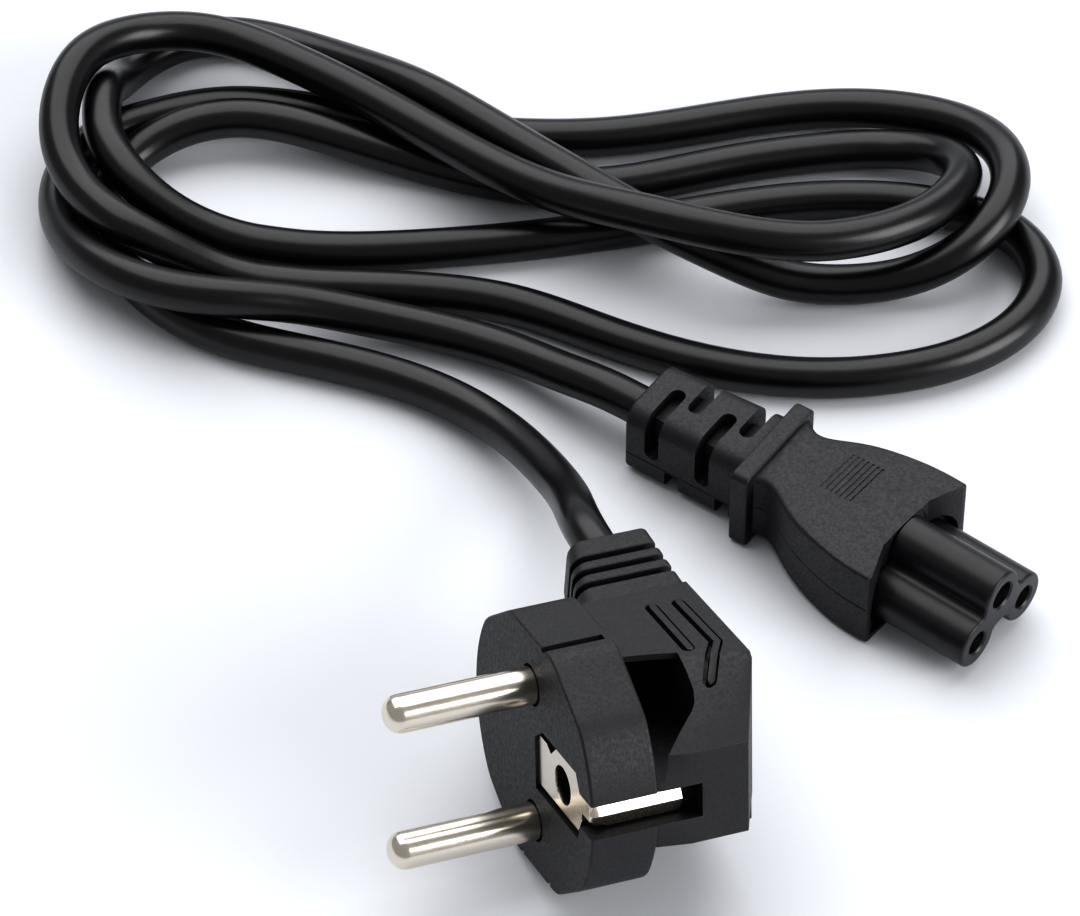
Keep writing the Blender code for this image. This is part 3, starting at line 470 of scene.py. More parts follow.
BODY_TOP = 13.6
BODY_BOTTOM = -9.6
BODY_EARTH_SIDE = 10.2
BODY_CORD_SIDE = -9.4
RIB_HALF_HEIGHT = 5.9
RIB_DEPTH = 20.0
SHOULDER_REACH = 18.5
SHOULDER_TOP = 6.6
SHOULDER_BOTTOM = -5.8
SHOULDER_BULGE = 0.55
TOP_EDGE_AT_DISC = 4.4
TOP_EDGE_SLOPE = 0.342
POCKET_FRONT = -8.7
BLOCK_FRONT = -7.5
BACK_TAPER_START = -20.4
BACK_TAPER_LENGTH = 4.1
FLUSH_START = -13.0
FLUSH_LENGTH = 4.2
BLOCK_STATIONS = (BACK_TAPER_START, -18.0, -15.0, FLUSH_START, -11.6, -10.2, -8.95, BLOCK_FRONT)
DISC_FLUSH = 18.55
FACE_SLANT = 17.5
FACE_SLANT_TURN = math.radians(58.0)
RELIEF_TILT = math.radians(12.0)
RELIEF_AXIS_HEIGHT = 7.8
RELIEF_LENGTH = 14.2
RELIEF_END_LENGTH = 3.4
RELIEF_BAND = 1.45
RELIEF_GROOVE = 1.1
RELIEF_ROOT = -4.0
RELIEF_INSET = 0.05
FLAT_GROOVE_ACROSS = 4.2
FLAT_GROOVE_HALF_WIDTH = 0.6
FLAT_GROOVE_FLOOR = 15.9
PIN_ROOT = -7.0
# Width, lowest and highest level of the grip marks' trench and bar, and how far the bar is set aside
GRIP_TRENCH = (1.75, -1.1, 0.7)
GRIP_BAR = (0.85, -1.37, 0.08)
GRIP_BAR_ASIDE = 0.17
STRAP_THICKNESS = 0.8
PLATE_SUNK = 0.4
LEAF_HALF_HEIGHT = 1.9
LEAF_END = -12.2
LEAF_INSET = 1.2
LEAF_SEAT_HALF_HEIGHT = 2.28


def face_outline(size, inset):
    """The plug's round face with its two flats and four slanted flats, shrunk all round by an inset."""
    radius, flat = size.face_radius / MM - inset, size.face_half_height / MM - inset
    slant = FACE_SLANT - inset
    sharpness = 90.0
    sides = 200
    points = []
    for i in range(sides):
        angle = 2 * math.pi * (i + 0.5) / sides
        limits = [1 / radius, abs(math.sin(angle)) / flat]
        limits += [abs(math.cos(angle - turn)) / slant for turn in (FACE_SLANT_TURN, -FACE_SLANT_TURN)]
        reach = sum(limit**sharpness for limit in limits) ** (-1.0 / sharpness)
        points.append((reach * math.cos(angle), reach * math.sin(angle)))
    return points


def top_edge(x):
    """Where the body's flat top ends towards the earth side, at a station."""
    return TOP_EDGE_AT_DISC + TOP_EDGE_SLOPE * (POCKET_FRONT - x)


def block_ring(x):
    """Section of the body behind the disc: flat top, slope to the earth side, side face and step in."""
    edge = top_edge(x)
    behind = max(0.0, BACK_TAPER_START - x) / BACK_TAPER_LENGTH
    near_disc = min(1.0, max(0.0, (x - FLUSH_START) / FLUSH_LENGTH))
    reach = SHOULDER_REACH + (BODY_EARTH_SIDE + 0.2 - SHOULDER_REACH) * behind
    low = SHOULDER_TOP + (BODY_TOP - 0.6 - SHOULDER_TOP) * behind
    sunk = 0.7 if x > -8.0 else 0.0

    def side(z):
        return reach + (math.sqrt(DISC_FLUSH**2 - z**2) - reach) * near_disc - sunk

    points = [(BODY_CORD_SIDE, BODY_BOTTOM), (BODY_CORD_SIDE, BODY_TOP)]
    for step in range(9):
        share = step / 8
        bulge = 4 * share * (1 - share) * SHOULDER_BULGE * (1 - behind)
        points.append((edge + (side(low) - edge) * share + 0.4 * bulge,
                       BODY_TOP + (low - BODY_TOP) * share + bulge))
    for step in range(1, 9):
        z = low + (SHOULDER_BOTTOM - low) * step / 8
        points.append((side(z), z))
    points += [(BODY_EARTH_SIDE, SHOULDER_BOTTOM), (BODY_EARTH_SIDE, BODY_BOTTOM)]
    return [(x, y, z) for y, z in points]


def slope_point(x, y):
    """Height and outward normal of the sloping shoulder at a point seen from above."""
    share = (y - top_edge(x)) / (SHOULDER_REACH - top_edge(x))
    if share <= 0.0:
        return BODY_TOP, Vector((0.0, 0.0, 1.0))
    height = BODY_TOP + (SHOULDER_TOP - BODY_TOP) * share + 4 * share * (1 - share) * SHOULDER_BULGE
    return height, Vector((0.0, 0.5, 0.86))


def relief_ring(station, inset):
    """Section of the plug's strain relief at a station along its axis, shrunk by an inset."""
    frame_here = (Matrix.Translation((0.0, BODY_CORD_SIDE + 0.5, RELIEF_AXIS_HEIGHT))
                  @ Matrix.Rotation(math.radians(90.0) - RELIEF_TILT, 4, "X"))
    share = station / RELIEF_LENGTH
    front = -9.8 - 4.0 * share
    half = (11.2 - 1.6 * share) / 2
    corners = [2.1 - inset * 0.5, 0.9 - inset * 0.4, 0.9 - inset * 0.4, 2.1 - inset * 0.5]
    section = rounded_rectangle((-24.5 + inset, -half + inset), (front - inset, half - inset), corners)
    return [tuple(frame_here @ Vector((x, y, station))) for x, y in section]


def relief_end():
    """The middle of the strain relief's end and the way the cord leaves it, in the plug's frame."""
    ring = [Vector(point) for point in relief_ring(RELIEF_LENGTH, 0.0)]
    middle = sum(ring, Vector()) / len(ring)
    return middle, Vector((0.0, -math.cos(RELIEF_TILT), math.sin(RELIEF_TILT)))


def relief_sleeve(name, start, end, start_radius, end_radius, place):
    """One length of the strain relief, with rounded rims."""
    stations = rounded_stations(start, end, start_radius, end_radius, 3)
    return lofted(name, [relief_ring(station, RELIEF_INSET + more) for station, more in stations], place)


def pocket_cuts(place):
    """The scoop behind the disc's earth side, and its undercut below the lip of the flat top."""
    scoop = [(POCKET_FRONT, 4.7), (-10.3, 5.0), (-13.5, 5.8), (-16.3, 6.65), (-16.3, 9.5), (-16.15, 11.95),
             (-15.7, 13.3), (-15.0, 14.15), (-9.1, 18.7), (POCKET_FRONT, 19.7)]
    undercut = [(POCKET_FRONT, -1.0), (-12.1, -1.0), (-14.6, 0.6), (-16.1, 3.0), (-16.25, 7.5),
                (POCKET_FRONT, 7.5)]
    return [prism("pocket_scoop", scoop, 3.3, BODY_TOP + 2.0, place, "Z"),
            prism("pocket_undercut", undercut, 3.4, BODY_TOP - 0.8, place, "Z")]


def ridge(name, path, width, low, high, place, aside=0.0):
    """A bar with round ends along a path of (point, outward normal) pairs, set aside from it by a little."""
    rings = []
    for i, (point, normal) in enumerate(path):
        point, normal = Vector(point), Vector(normal).normalized()
        ahead = Vector(path[min(i + 1, len(path) - 1)][0]) - Vector(path[max(i - 1, 0)][0])
        across = normal.cross(ahead).normalized()
        run = min((point - Vector(path[0][0])).length, (point - Vector(path[-1][0])).length)
        half = width / 2
        if run < half:
            half = max(math.sqrt(max(half**2 - (half - run) ** 2, 0.0)), 0.12 * width)
        rings.append([point + across * (side * half + aside) + normal * level
                      for side, level in ((-1, low), (1, low), (1, high), (-1, high))])
    return lofted(name, rings, place)


def grip_paths():
    """Centre lines of the two raised grip marks on the back of the plug, with the surface's normals."""
    up = Vector((0.0, 0.0, 1.0))
    ends = (0.0, 0.1, 0.3, 0.6, 1.0)
    short = [((-18.0, -5.7 + d, BODY_TOP), up) for d in ends]
    short += [((-18.0, 6.9 - d, BODY_TOP), up) for d in ends[::-1]]
    long = [((-21.4 - 0.025 * d, -5.5 + d, BODY_TOP), up) for d in (*ends, 6.0, 11.0)]
    for i in range(17):
        x, y = -21.7 + 3.7 * i / 16, 6.0 + 6.2 * i / 16
        height, normal = slope_point(x, y)
        long.append(((x, y, height), normal))
    return short, long


def build_plug_body(size, mat):
    """The plug's overmoulding: disc, body, side rib, pocket, strain relief, grip marks and pin holes."""
    place = PLUG_FRAME
    thickness = size.disc_thickness / MM
    depth = size.body_depth / MM
    made = lofted("plug_moulding", [[(x, y, z) for y, z in face_outline(size, inset)]
                                    for x, inset in rounded_stations(-thickness, 0.0, 0.45, 0.35)], place)
    block = lofted("body_block", [block_ring(x) for x in (-depth, *BLOCK_STATIONS)], place)
    round_edges(block, 0.5, 3, math.radians(38.0))
    block.modifiers.new("flat_faces", "TRIANGULATE")
    settle(block)
    reach = size.face_radius / MM - 0.1
    rib = lofted("cord_side_rib", [[(x, y, z) for y, z in rounded_rectangle(
        (-reach + inset, -RIB_HALF_HEIGHT + inset), (0.0, RIB_HALF_HEIGHT - inset), [0.7] * 4)]
        for x, inset in rounded_stations(-RIB_DEPTH, -thickness + 0.5, 0.6, 0.01)], place)
    relief = lofted("relief_core", [relief_ring(-2.6, 1.0), relief_ring(RELIEF_LENGTH - 1.0, 1.0)], place)
    start = RELIEF_LENGTH - RELIEF_END_LENGTH
    joined = [relief_sleeve("relief_end", start, RELIEF_LENGTH, 0.25, 0.55, place)]
    for number in range(2):
        end = start - RELIEF_GROOVE
        start = end - RELIEF_BAND
        joined.append(relief_sleeve(f"relief_band_{number}", start, end, 0.25, 0.25, place))
    joined.append(relief_sleeve("relief_root", RELIEF_ROOT, start - RELIEF_GROOVE, 0.01, 0.25, place))
    combine(relief, joined, "UNION")
    combine(made, [block, rib, relief], "UNION")
    cuts = pocket_cuts(place)
    for top, side in ((1, 1), (-1, 1), (-1, -1)):
        y = side * FLAT_GROOVE_ACROSS
        low, high = sorted((top * FLAT_GROOVE_FLOOR, top * 18.0))
        cuts.append(box(f"flat_groove_{top}_{side}", (-thickness + 0.9, y - FLAT_GROOVE_HALF_WIDTH, low),
                        (1.0, y + FLAT_GROOVE_HALF_WIDTH, high), place))
    radius = size.pin_radius / MM + GAP
    for side in (1, -1):
        centre = (0.0, side * size.pin_pitch / MM / 2)
        cuts.append(prism(f"pin_hole_{side}", circle(radius, centre), PIN_ROOT - GAP, 1.0, place))
    cuts.append(prism("earth_hole", circle(2.8, (size.earth_offset / MM, 0.0)), -9.0, 1.0, place))
    combine(made, strap_seat_cuts(size, place) + cuts)
    for number, path in enumerate(grip_paths()):
        combine(made, [ridge(f"grip_trench_{number}", path, *GRIP_TRENCH, place)])
        combine(made, [ridge(f"grip_bar_{number}", path[1:-1], *GRIP_BAR, place, GRIP_BAR_ASIDE)], "UNION")
    round_edges(made, 0.14)
    dress(made, mat, ["plug_body"])


def strap_seat_cuts(size, place):
    """Cutters for the seat of the earth strap: plate, tongue, a slot down each side and the bridge."""
    outer = size.face_radius / MM + 1.0
    reach = size.face_radius / MM - LEAF_INSET
    floor = -PLATE_SUNK - STRAP_THICKNESS - GAP
    back = -14.4
    inner = reach - STRAP_THICKNESS - 1.3
    half = LEAF_SEAT_HALF_HEIGHT
    seat = [(0.85, -4.4), (14.0, -4.4), (14.9, -half), (outer, -half), (outer, half), (14.9, half),
            (13.8, 4.6), (3.3, 4.6), (0.85, 2.8)]
    return [prism("plate_seat", seat, floor, 1.0, place),
            box("leaf_seat_1", (back, inner, -half), (1.0, outer, half), place),
            box("leaf_seat_2", (back, -outer, -half), (-PLATE_SUNK + GAP, -inner, half), place),
            box("bridge_seat", (LEAF_END - GAP, -outer + 3.0, -half),
                (LEAF_END + STRAP_THICKNESS + GAP, outer - 3.0, half), place)]


def build_earth_contact(size, mat):
    """The stamped earth strap: plate with its hole, tongue over the rim, crowned side leaves and bridge."""
    place = PLUG_FRAME
    top = -PLATE_SUNK
    bottom = top - STRAP_THICKNESS
    reach = size.face_radius / MM - LEAF_INSET
    half = LEAF_HALF_HEIGHT
    outline = [(0.95, -3.7), (13.4, -3.7), (14.4, -half), (reach - 0.6, -half), (reach - 0.6, half),
               (14.4, half), (13.5, 4.3), (7.0, 4.3), (4.97, 2.4), (3.7, 3.2), (1.6, 3.2), (0.95, 2.6)]
    made = prism("earth_strap", outline, bottom, top, place)
    parts = []
    for side in (1, -1):
        rings = []
        for x, drop in ((top, 0.45), (top - 0.5, 0.08), (top - 1.2, 0.0), (LEAF_END, 0.0)):
            ring = []
            for depth in (0.0, STRAP_THICKNESS):
                heights = (-half, -half * 0.5, 0.15, half * 0.5, half)
                for z in heights if depth == 0.0 else reversed(heights):
                    ring.append((x, side * (reach - depth - drop - 0.5 * abs(z - 0.15)), z))
            rings.append(ring)
        parts.append(lofted(f"leaf_{side}", rings, place))
    parts.append(box("bridge", (LEAF_END, -reach + 1.4, -half * 0.8),
                     (LEAF_END + STRAP_THICKNESS, reach - 1.4, half * 0.8), place))
    combine(made, parts, "UNION")
    cuts = [prism("strap_hole", circle(2.5, (size.earth_offset / MM, 0.0)), bottom - 1.0, 1.0, place),
            prism("leaf_corner", [(top + 0.1, -half - 0.1), (top - 2.6, -half - 0.1),
                                  (top + 0.1, -half + 1.3)], reach - 3.0, reach + 1.0, place, "Y")]
    combine(made, cuts)
    round_edges(made, 0.16)
    dress(made, mat, ["earth_contact"])


def build_pin(name, side, size, mat):
    """One turned pin with its rounded tip."""
    radius, reach = size.pin_radius / MM, size.pin_length / MM
    rounding = 2.0
    profile = [(0.0, reach)]
    for step in range(1, 11):
        angle = math.pi / 2 * step / 10
        profile.append((radius - rounding + rounding * math.sin(angle),
                        reach - rounding + rounding * math.cos(angle)))
    profile += [(radius, 9.0), (radius, PIN_ROOT), (0.0, PIN_ROOT)]
    made = turned(f"{name}_turned", profile, PLUG_FRAME, (0.0, side * size.pin_pitch / MM / 2))
    dress(made, mat, [name])


# Connector

FLANGE_THICKNESS = 2.6
FLANGE_HALF_WIDTH = 8.0
FLANGE_HALF_HEIGHT = 6.25
FLANGE_MIDDLE = 6.4
TAIL_LENGTH = 18.2
TAIL_ACROSS = 0.4
TAIL_SLOTS_AT = (2.7, 5.95, 10.65, 13.9)
CORD_HEIGHT = 6.3
NOSE_SEAT_DEPTH = 2.0
NOSE_CLEARANCE = 0.9
LINE_HOLE_HEIGHT = 4.9
HOLE_DEPTH = 12.0
SLEEVE_SUNK = 1.5
SLEEVE_LENGTH = 9.0
SLEEVE_WALL = 0.35
HOUSING_TAPER = 0.9
CROWN_WIDTH = 3.4
CROWN_DROP = 0.35
# Half widths of the housing at distances behind its front
HOUSING_PLAN = [(0.0, 10.6), (2.5, 10.6), (4.5, 10.5), (7.6, 10.1), (11.0, 9.45), (14.0, 8.6), (17.0, 7.25),
                (19.3, 6.1), (20.9, 5.8), (22.0, 6.2), (23.1, 7.1)]


def eased(value, start, end):
    """How far a value has come from start to end, as a share with a soft start and stop."""
    share = min(1.0, max(0.0, (value - start) / (end - start)))
    return share * share * (3 - 2 * share)


def top_drop(station):
    """How far the housing's top lies below its front's, and its base above, at a station."""
    return HOUSING_TAPER * eased(station, 5.0, 20.0)


def parting_line(half_width, height, half, depth):
    """The fine groove of a parting line on the left side of a section, and the one on its right side."""
    left = [(-half_width, height + half), (-half_width + depth, height), (-half_width, height - half)]
    return left, [(-y, z) for y, z in reversed(left)]


def housing_rings(size):
    """Sections of the housing from front to flange, with sharp shoulders and a parting line on each side."""
    height = size.housing_height / MM
    plan = spline(HOUSING_PLAN, (1.0, 0.0), (0.6, 0.8), 0.6)
    rings = []
    for x, inset in ((0.0, 0.3), (0.05, 0.12), (0.15, 0.03), (0.35, 0.0)):
        rings.append((x, HOUSING_PLAN[0][1] - inset, height / 2 - inset, 0.0))
    for station, half_width in plan:
        if station > 0.6:
            drop = top_drop(station)
            rings.append((station, half_width, height / 2 - drop, drop))
    sections = []
    for x, w, h, drop in rings:
        upper, lower = 0.4 + 0.55 * drop, 0.8
        ring = rounded_rectangle((-w, -h), (w, h), [upper, upper, lower, lower], 4)
        shelf = w - CROWN_WIDTH
        top = [(y, z - CROWN_DROP * max(0.0, (abs(y) - shelf) / CROWN_WIDTH)) for y, z in ring[:10]]
        left, right = parting_line(w, 0.0, 0.16, 0.14)
        ring = top[:5] + [(shelf, h), (-shelf, h)] + top[5:] + left + ring[10:] + right
        across = REAR_ACROSS * eased(x, 4.0, HOUSING_LENGTH)
        sections.append([(-x, y + across, z + height / 2) for y, z in ring])
    return sections


def tail_ring(station, inset):
    """Section of the connector's strain relief at a distance behind the flange."""
    share = station / TAIL_LENGTH
    half_width = 6.0 - 0.3 * share - inset
    low, high = 0.6 + inset, 11.9 - 0.7 * share - inset
    upper, lower = 2.6 - inset * 0.5, 0.9 - inset * 0.5
    ring = rounded_rectangle((-half_width, low), (half_width, high), [upper, upper, lower, lower])
    left, right = parting_line(half_width, 3.6, 0.15, 0.12)
    ring = ring[:14] + left + ring[14:] + right
    return [(-FLANGE_THICKNESS - station, y + TAIL_ACROSS, z) for y, z in ring]


def tail_slot_cuts(place):
    """Cutters for the staggered slots: round-ended on the top and on the side, square on the lower side."""
    cuts = []
    width = 2.2
    for number, distance in enumerate(TAIL_SLOTS_AT):
        x = -FLANGE_THICKNESS - distance
        for up in (1, -1):
            side = up if number % 2 == 0 else -up
            flat = slot_outline((x, TAIL_ACROSS - side * 0.2), (x, TAIL_ACROSS + side * 9.0), width)
            low, high = sorted((CORD_HEIGHT + up * 3.2, CORD_HEIGHT + up * 9.0))
            cuts.append(prism(f"slot_{number}_{up}_flat", flat, low, high, place, "Z"))
            low, high = sorted((TAIL_ACROSS + side * 3.25, TAIL_ACROSS + side * 9.0))
            if up > 0:
                edge = slot_outline((x, 5.6), (x, 15.0), width - 0.02)
                cuts.append(prism(f"slot_{number}_{up}_side", edge, low, high, place, "Y"))
            else:
                cuts.append(box(f"slot_{number}_{up}_side", (x - width / 2 + 0.01, low, -2.0),
                                (x + width / 2 - 0.01, high, 3.4), place))
    return cuts


def grip_lines(size, place):
    """Cutters for the fine transverse lines on the housing's top, fading towards the flange."""
    cuts = []
    for number in range(7):
        x = -9.8 - 0.78 * number
        floor = size.housing_height / MM - top_drop(-x) - 0.16 + 0.01 * number
        cuts.append(box(f"grip_line_{number}", (x - 0.16, -1.4, floor), (x + 0.16, 5.8, 14.0), place))
    return cuts


def bearing(start, end):
    """Angle of the line from one point to another."""
    return math.atan2(end.y - start.y, end.x - start.x)


def clover_outline(size, grow=0.0):
    """Outline of the nose's three lobes and their web, with filleted inner corners, grown all round."""
    radius, fillet = size.lobe_radius / MM + grow, 1.1 - grow
    line = Vector((size.line_pitch / MM / 2, LINE_HOLE_HEIGHT))
    earth = Vector((0.0, LINE_HOLE_HEIGHT + size.earth_rise / MM))
    base = LINE_HOLE_HEIGHT - grow
    reach = radius + fillet
    drop = line.y - base + fillet
    low = Vector((line.x - math.sqrt(reach**2 - drop**2), base - fillet))
    half = (earth - line) / 2
    outward = Vector((half.y, -half.x)).normalized()
    side = line + half + outward * math.sqrt(reach**2 - half.length**2)
    right = arc(low, fillet, math.pi / 2, bearing(low, line), 5)
    right += arc(line, radius, bearing(line, low), bearing(line, side), 36)
    right += arc(side, fillet, bearing(side, line), bearing(side, earth) - 2 * math.pi, 7)
    right += arc(earth, radius, bearing(earth, side), math.pi / 2, 14)
    return right + [(-y, z) for y, z in reversed(right[:-1])]


def contact_places(size):
    """Name, position across and up, and hole radius of each contact in the nose."""
    half = size.line_pitch / MM / 2
    return (("line", half, LINE_HOLE_HEIGHT, 1.65), ("neutral", -half, LINE_HOLE_HEIGHT, 1.65),
            ("earth", 0.0, LINE_HOLE_HEIGHT + size.earth_rise / MM, 1.9))


def build_connector_body(size, mat):
    """The connector's overmoulding: waisted housing, flange, slotted strain relief and nose recess."""
    place = CONNECTOR_FRAME
    made = lofted("connector_moulding", housing_rings(size), place)
    flange_rings = []
    for x, inset in rounded_stations(-FLANGE_THICKNESS, 0.0, 0.3, 0.3, 3):
        w, h = FLANGE_HALF_WIDTH - inset, FLANGE_HALF_HEIGHT - inset
        section = rounded_rectangle((-w, -h), (w, h), [1.0, 1.0, 0.7, 0.7])
        flange_rings.append([(x, y, z + FLANGE_MIDDLE) for y, z in section])
    flange = lofted("flange", flange_rings, REAR_FRAME)
    tail = lofted("tail", [tail_ring(station, inset) for station, inset in
                           rounded_stations(-0.5, TAIL_LENGTH, 0.01, 0.6)], REAR_FRAME)
    combine(made, [flange, tail], "UNION")
    combine(made, tail_slot_cuts(REAR_FRAME))
    recess = [(1.0, -12.38), (-1.9, -4.9), (-1.9, 4.9), (1.0, 12.38)]
    combine(made, [prism("front_recess", recess, 1.0, 14.0, place, "Z"),
                   prism("nose_seat", clover_outline(size, NOSE_CLEARANCE), -NOSE_SEAT_DEPTH, 1.0, place)]
            + grip_lines(size, place))
    round_edges(made, 0.14)
    dress(made, mat, ["connector_body"])


def build_connector_insert(size, mat):
    """The cloverleaf nose with its contact holes."""
    place = CONNECTOR_FRAME
    tip = size.nose_length / MM
    rings = []
    for x, inset in ((-NOSE_SEAT_DEPTH + GAP, 0.0), (tip - 0.45, 0.0), (tip - 0.2, 0.06), (tip - 0.06, 0.2),
                     (tip, 0.45)):
        rings.append([(x, y, z) for y, z in clover_outline(size, -inset)])
    made = lofted("cloverleaf_nose", rings, place)
    cuts = []
    for name, across, up, radius in contact_places(size):
        profile = [(0.0, tip + 0.5), (radius + 0.75, tip + 0.5), (radius, tip - 0.25),
                   (radius, tip - HOLE_DEPTH), (0.0, tip - HOLE_DEPTH)]
        cuts.append(turned(f"hole_{name}", profile, place, (across, up), 36))
    combine(made, cuts)
    dress(made, mat, ["connector_insert"])


def build_sleeve(name, across, up, radius, size, mat):
    """One tubular contact, sunk in its hole."""
    front = size.nose_length / MM - SLEEVE_SUNK
    back = front - SLEEVE_LENGTH
    outer = radius - GAP
    inner = outer - SLEEVE_WALL
    profile = [(inner, front - 0.1), (inner + 0.1, front), (outer - 0.08, front), (outer, front - 0.1),
               (outer, back), (inner, back)]
    made = turned(f"{name}_tube", profile, CONNECTOR_FRAME, (across, up), 32)
    dress(made, mat, [f"{name}_sleeve"])


# Cord

def cord_line(radius):
    """The cord's centre line in metres, from the connector to the plug, lying on the floor at the lowest."""
    first = REAR_FRAME @ (Vector((-FLANGE_THICKNESS - TAIL_LENGTH, TAIL_ACROSS, CORD_HEIGHT)) * MM) / MM
    first_out = REAR_FRAME.to_3x3() @ Vector((-1.0, 0.0, 0.0))
    middle, out = relief_end()
    last = PLUG_FRAME @ (middle * MM) / MM
    last_out = (PLUG_FRAME.to_3x3() @ out).normalized()
    shift = Vector((*ROUTE_SHIFT, 0.0))
    points = [first + first_out * CORD_END_GAP, first + first_out * CORD_STRAIGHT]
    points += [Vector(point) + shift for point in ROUTE]
    points += [last + last_out * CORD_STRAIGHT, last + last_out * CORD_END_GAP]
    line = spline(points, first_out, -last_out, CORD_POINT_SPACING) * MM
    line[:, 2] = np.maximum(line[:, 2], radius)
    return line


def build_cord(size, mat):
    """The jacketed cord as one curve along its route."""
    line = cord_line(size.diameter / 2)
    data = bpy.data.curves.new("mains_cord", "CURVE")
    data.dimensions = "3D"
    data.bevel_depth = size.diameter / 2
    data.bevel_resolution = size.sides // 2 - 1
    data.use_fill_caps = True
    track = data.splines.new("POLY")
    track.points.add(len(line) - 1)
    for target, point in zip(track.points, line):
        target.co = (*point, 1.0)
    track.use_smooth = True
    data.materials.append(mat)
    made = add_object("mains_cord", data)
    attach(made, "root")
    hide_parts("cord")


# Stage: sizes of the floor and backdrop in metres

FLOOR_FRONT = -2.0
FLOOR_BACK = 1.2
FLOOR_HALF_WIDTH = 3.0
BACKDROP_RADIUS = 0.6
BACKDROP_HEIGHT = 3.0
LIGHT_AIM = (-0.02, 0.03, 0.0)


def area_light(name, position, size, power):
    """A soft square light at a position, turned to the lead."""
    data = bpy.data.lights.new(name, "AREA")
    data.shape = "SQUARE"
    data.size = size
    data.energy = power
    made = add_object(name, data)
    made.location = position
    made.rotation_euler = (Vector(LIGHT_AIM) - Vector(position)).to_track_quat("-Z", "Y").to_euler()


def build_stage(finish):
    """A pale floor that curves up into a backdrop, soft light and the photograph's camera."""
    bm = bmesh.new()
    profile = [(FLOOR_FRONT, 0.0), (FLOOR_BACK, 0.0)]
    for step in range(1, 13):
        angle = math.pi / 2 * step / 12
        profile.append((FLOOR_BACK + BACKDROP_RADIUS * math.sin(angle),
                        BACKDROP_RADIUS * (1 - math.cos(angle))))
    profile.append((FLOOR_BACK + BACKDROP_RADIUS, BACKDROP_HEIGHT))
    rows = [[bm.verts.new((x / MM, y / MM, z / MM)) for x in (-FLOOR_HALF_WIDTH, FLOOR_HALF_WIDTH)]
            for y, z in profile]
    for first, second in zip(rows, rows[1:]):
        bm.faces.new((first[0], first[1], second[1], second[0]))
    floor = mesh_object("studio_floor", bm, Matrix.Identity(4))
    floor.data.shade_smooth()
    made, tree, shader, where = new_material("pale_studio_card", finish.floor, 0.7)
    vary_roughness(tree, shader, noise(tree, where, 30.0, 2.0), 0.65, 0.75)
    floor.data.materials.append(made)

    world = bpy.data.worlds.new("soft_studio")
    world.use_nodes = True
    background = world.node_tree.nodes["Background"]
    background.inputs["Color"].default_value = (1.0, 1.0, 1.0, 1.0)
    background.inputs["Strength"].default_value = 0.32
    bpy.context.scene.world = world
    view = bpy.context.scene.view_settings
    view.view_transform = "Standard"
    view.look = "High Contrast"
    area_light("overhead_softbox", (-0.1, 0.6, 0.95), 1.5, 12.5)
    area_light("right_softbox", (1.0, -0.45, 0.5), 0.8, 9.0)

    data = bpy.data.cameras.new("camera")
    data.lens = CAMERA_LENS
    data.clip_start = 0.01
    camera = add_object("camera", data)
    away = CAMERA_DISTANCE * math.cos(CAMERA_ELEVATION)
    camera.location = (CAMERA_AIM[0] * MM, (CAMERA_AIM[1] - away) * MM,
                       CAMERA_DISTANCE * math.sin(CAMERA_ELEVATION) * MM)
    camera.rotation_euler = (math.pi / 2 - CAMERA_ELEVATION, 0.0, 0.0)
    bpy.context.scene.camera = camera


# Operators

# How far the marks of each kind of nickel plate are stretched along the plug's axes, and its roughness
NICKEL_PLATES = {"nickel_plate_turned": ((6.7, 1.0, 1.0), 0.2),
                 "nickel_plate_stamped": ((1.0, 1.0, 5.0), 0.24)}


def metal(finish, name):
    """The nickel plate of one kind of contact, made once."""
    return bpy.data.materials.get(name) or nickel_plate(name, finish.plating, *NICKEL_PLATES[name])


def moulding(finish):
    """The matt moulding shared by the plug and the connector, made once."""
    return bpy.data.materials.get("moulded_pvc_spark_eroded") or moulded_pvc(finish.moulding)


class LEAD_OT_stage(bpy.types.Operator):
    """Adds the pale floor, the soft light and the camera"""
    bl_idname = "mains_lead.stage"
    bl_label = "Stage"

    def execute(self, context):
        build_stage(context.scene.mains_lead.finish)
        return {"FINISHED"}


class LEAD_OT_cord(bpy.types.Operator):
    """Lays the cord along its route"""
    bl_idname = "mains_lead.cord"
    bl_label = "Cord"

    def execute(self, context):
        lead = context.scene.mains_lead
        build_cord(lead.cord, extruded_pvc(lead.finish.jacket))
        return {"FINISHED"}


class LEAD_OT_plug_body(bpy.types.Operator):
    """Moulds the plug's body with its strain relief"""
    bl_idname = "mains_lead.plug_body"
    bl_label = "Plug Body"

    def execute(self, context):
        lead = context.scene.mains_lead
        build_plug_body(lead.plug, moulding(lead.finish))
        return {"FINISHED"}


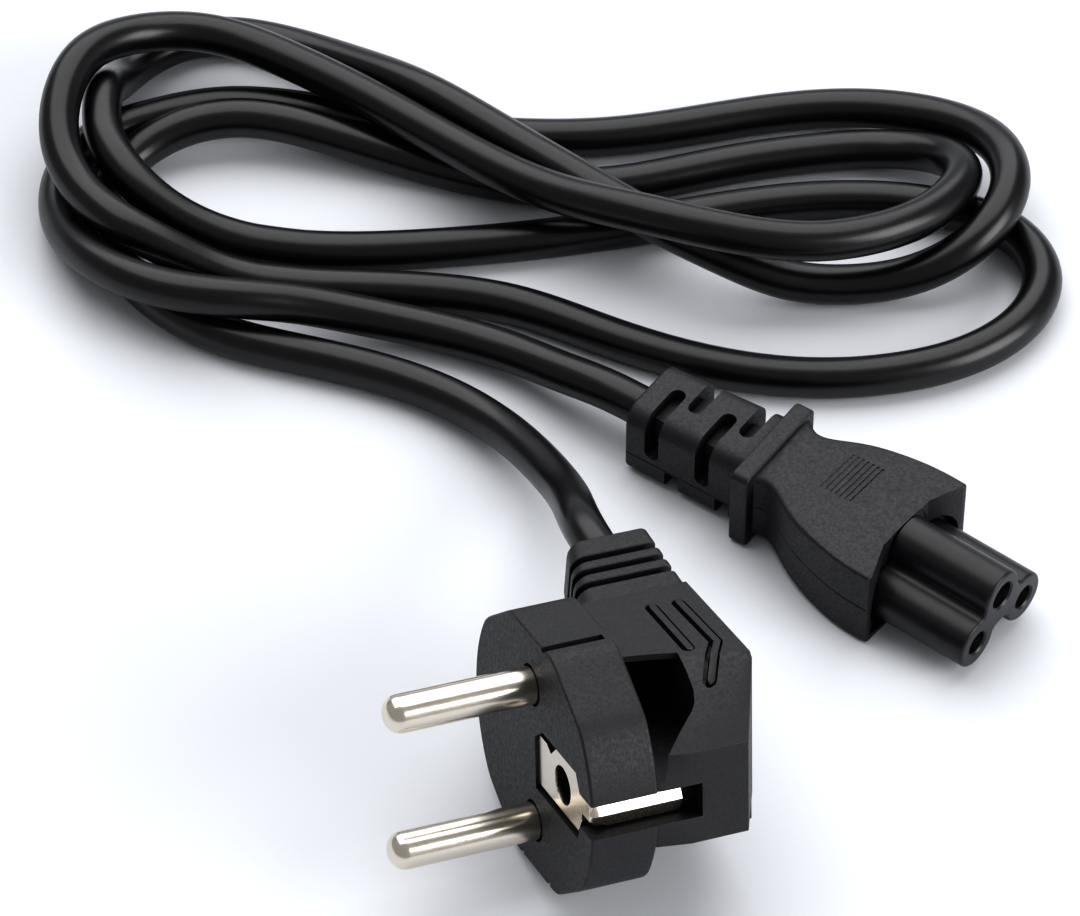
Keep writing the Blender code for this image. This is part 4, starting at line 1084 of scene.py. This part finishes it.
class LEAD_OT_plug_contacts(bpy.types.Operator):
    """Adds the plug's two pins and its earth strap"""
    bl_idname = "mains_lead.plug_contacts"
    bl_label = "Plug Contacts"

    def execute(self, context):
        lead = context.scene.mains_lead
        turned_nickel = metal(lead.finish, "nickel_plate_turned")
        stamped_nickel = metal(lead.finish, "nickel_plate_stamped")
        build_pin("line_pin", 1, lead.plug, turned_nickel)
        build_pin("neutral_pin", -1, lead.plug, turned_nickel)
        build_earth_contact(lead.plug, stamped_nickel)
        return {"FINISHED"}


class LEAD_OT_connector_body(bpy.types.Operator):
    """Moulds the connector's housing with its strain relief"""
    bl_idname = "mains_lead.connector_body"
    bl_label = "Connector Body"

    def execute(self, context):
        lead = context.scene.mains_lead
        build_connector_body(lead.connector, moulding(lead.finish))
        return {"FINISHED"}


class LEAD_OT_connector_nose(bpy.types.Operator):
    """Adds the cloverleaf nose and its three contacts"""
    bl_idname = "mains_lead.connector_nose"
    bl_label = "Connector Nose"

    def execute(self, context):
        lead = context.scene.mains_lead
        build_connector_insert(lead.connector, polished_nose_plastic(lead.finish.nose))
        turned_nickel = metal(lead.finish, "nickel_plate_turned")
        for name, across, up, radius in contact_places(lead.connector):
            build_sleeve(name, across, up, radius, lead.connector, turned_nickel)
        return {"FINISHED"}


OPERATORS = (LEAD_OT_stage, LEAD_OT_cord, LEAD_OT_plug_body, LEAD_OT_plug_contacts, LEAD_OT_connector_body,
             LEAD_OT_connector_nose)


class LEAD_PT_sidebar(bpy.types.Panel):
    """Lists the lead's settings and its pieces"""
    bl_idname = "LEAD_PT_sidebar"
    bl_label = "Mains Lead"
    bl_space_type = "VIEW_3D"
    bl_region_type = "UI"
    bl_category = "Mains Lead"

    def draw(self, context):
        lead = context.scene.mains_lead
        for group in (lead.plug, lead.connector, lead.cord, lead.finish):
            column = self.layout.column(align=True)
            for name in group.__annotations__:
                column.prop(group, name)
        for operator in OPERATORS:
            self.layout.operator(operator.bl_idname)


CLASSES = (PlugSettings, ConnectorSettings, CordSettings, FinishSettings, LeadSettings, *OPERATORS,
           LEAD_PT_sidebar)


def register():
    for cls in CLASSES:
        bpy.utils.register_class(cls)
    bpy.types.Scene.mains_lead = PointerProperty(type=LeadSettings)


def unregister():
    del bpy.types.Scene.mains_lead
    for cls in reversed(CLASSES):
        bpy.utils.unregister_class(cls)


def main():
    """Builds every piece."""
    register()
    for operator in OPERATORS:
        getattr(bpy.ops.mains_lead, operator.bl_idname.split(".")[1])()


if __name__ == "__main__":
    main()
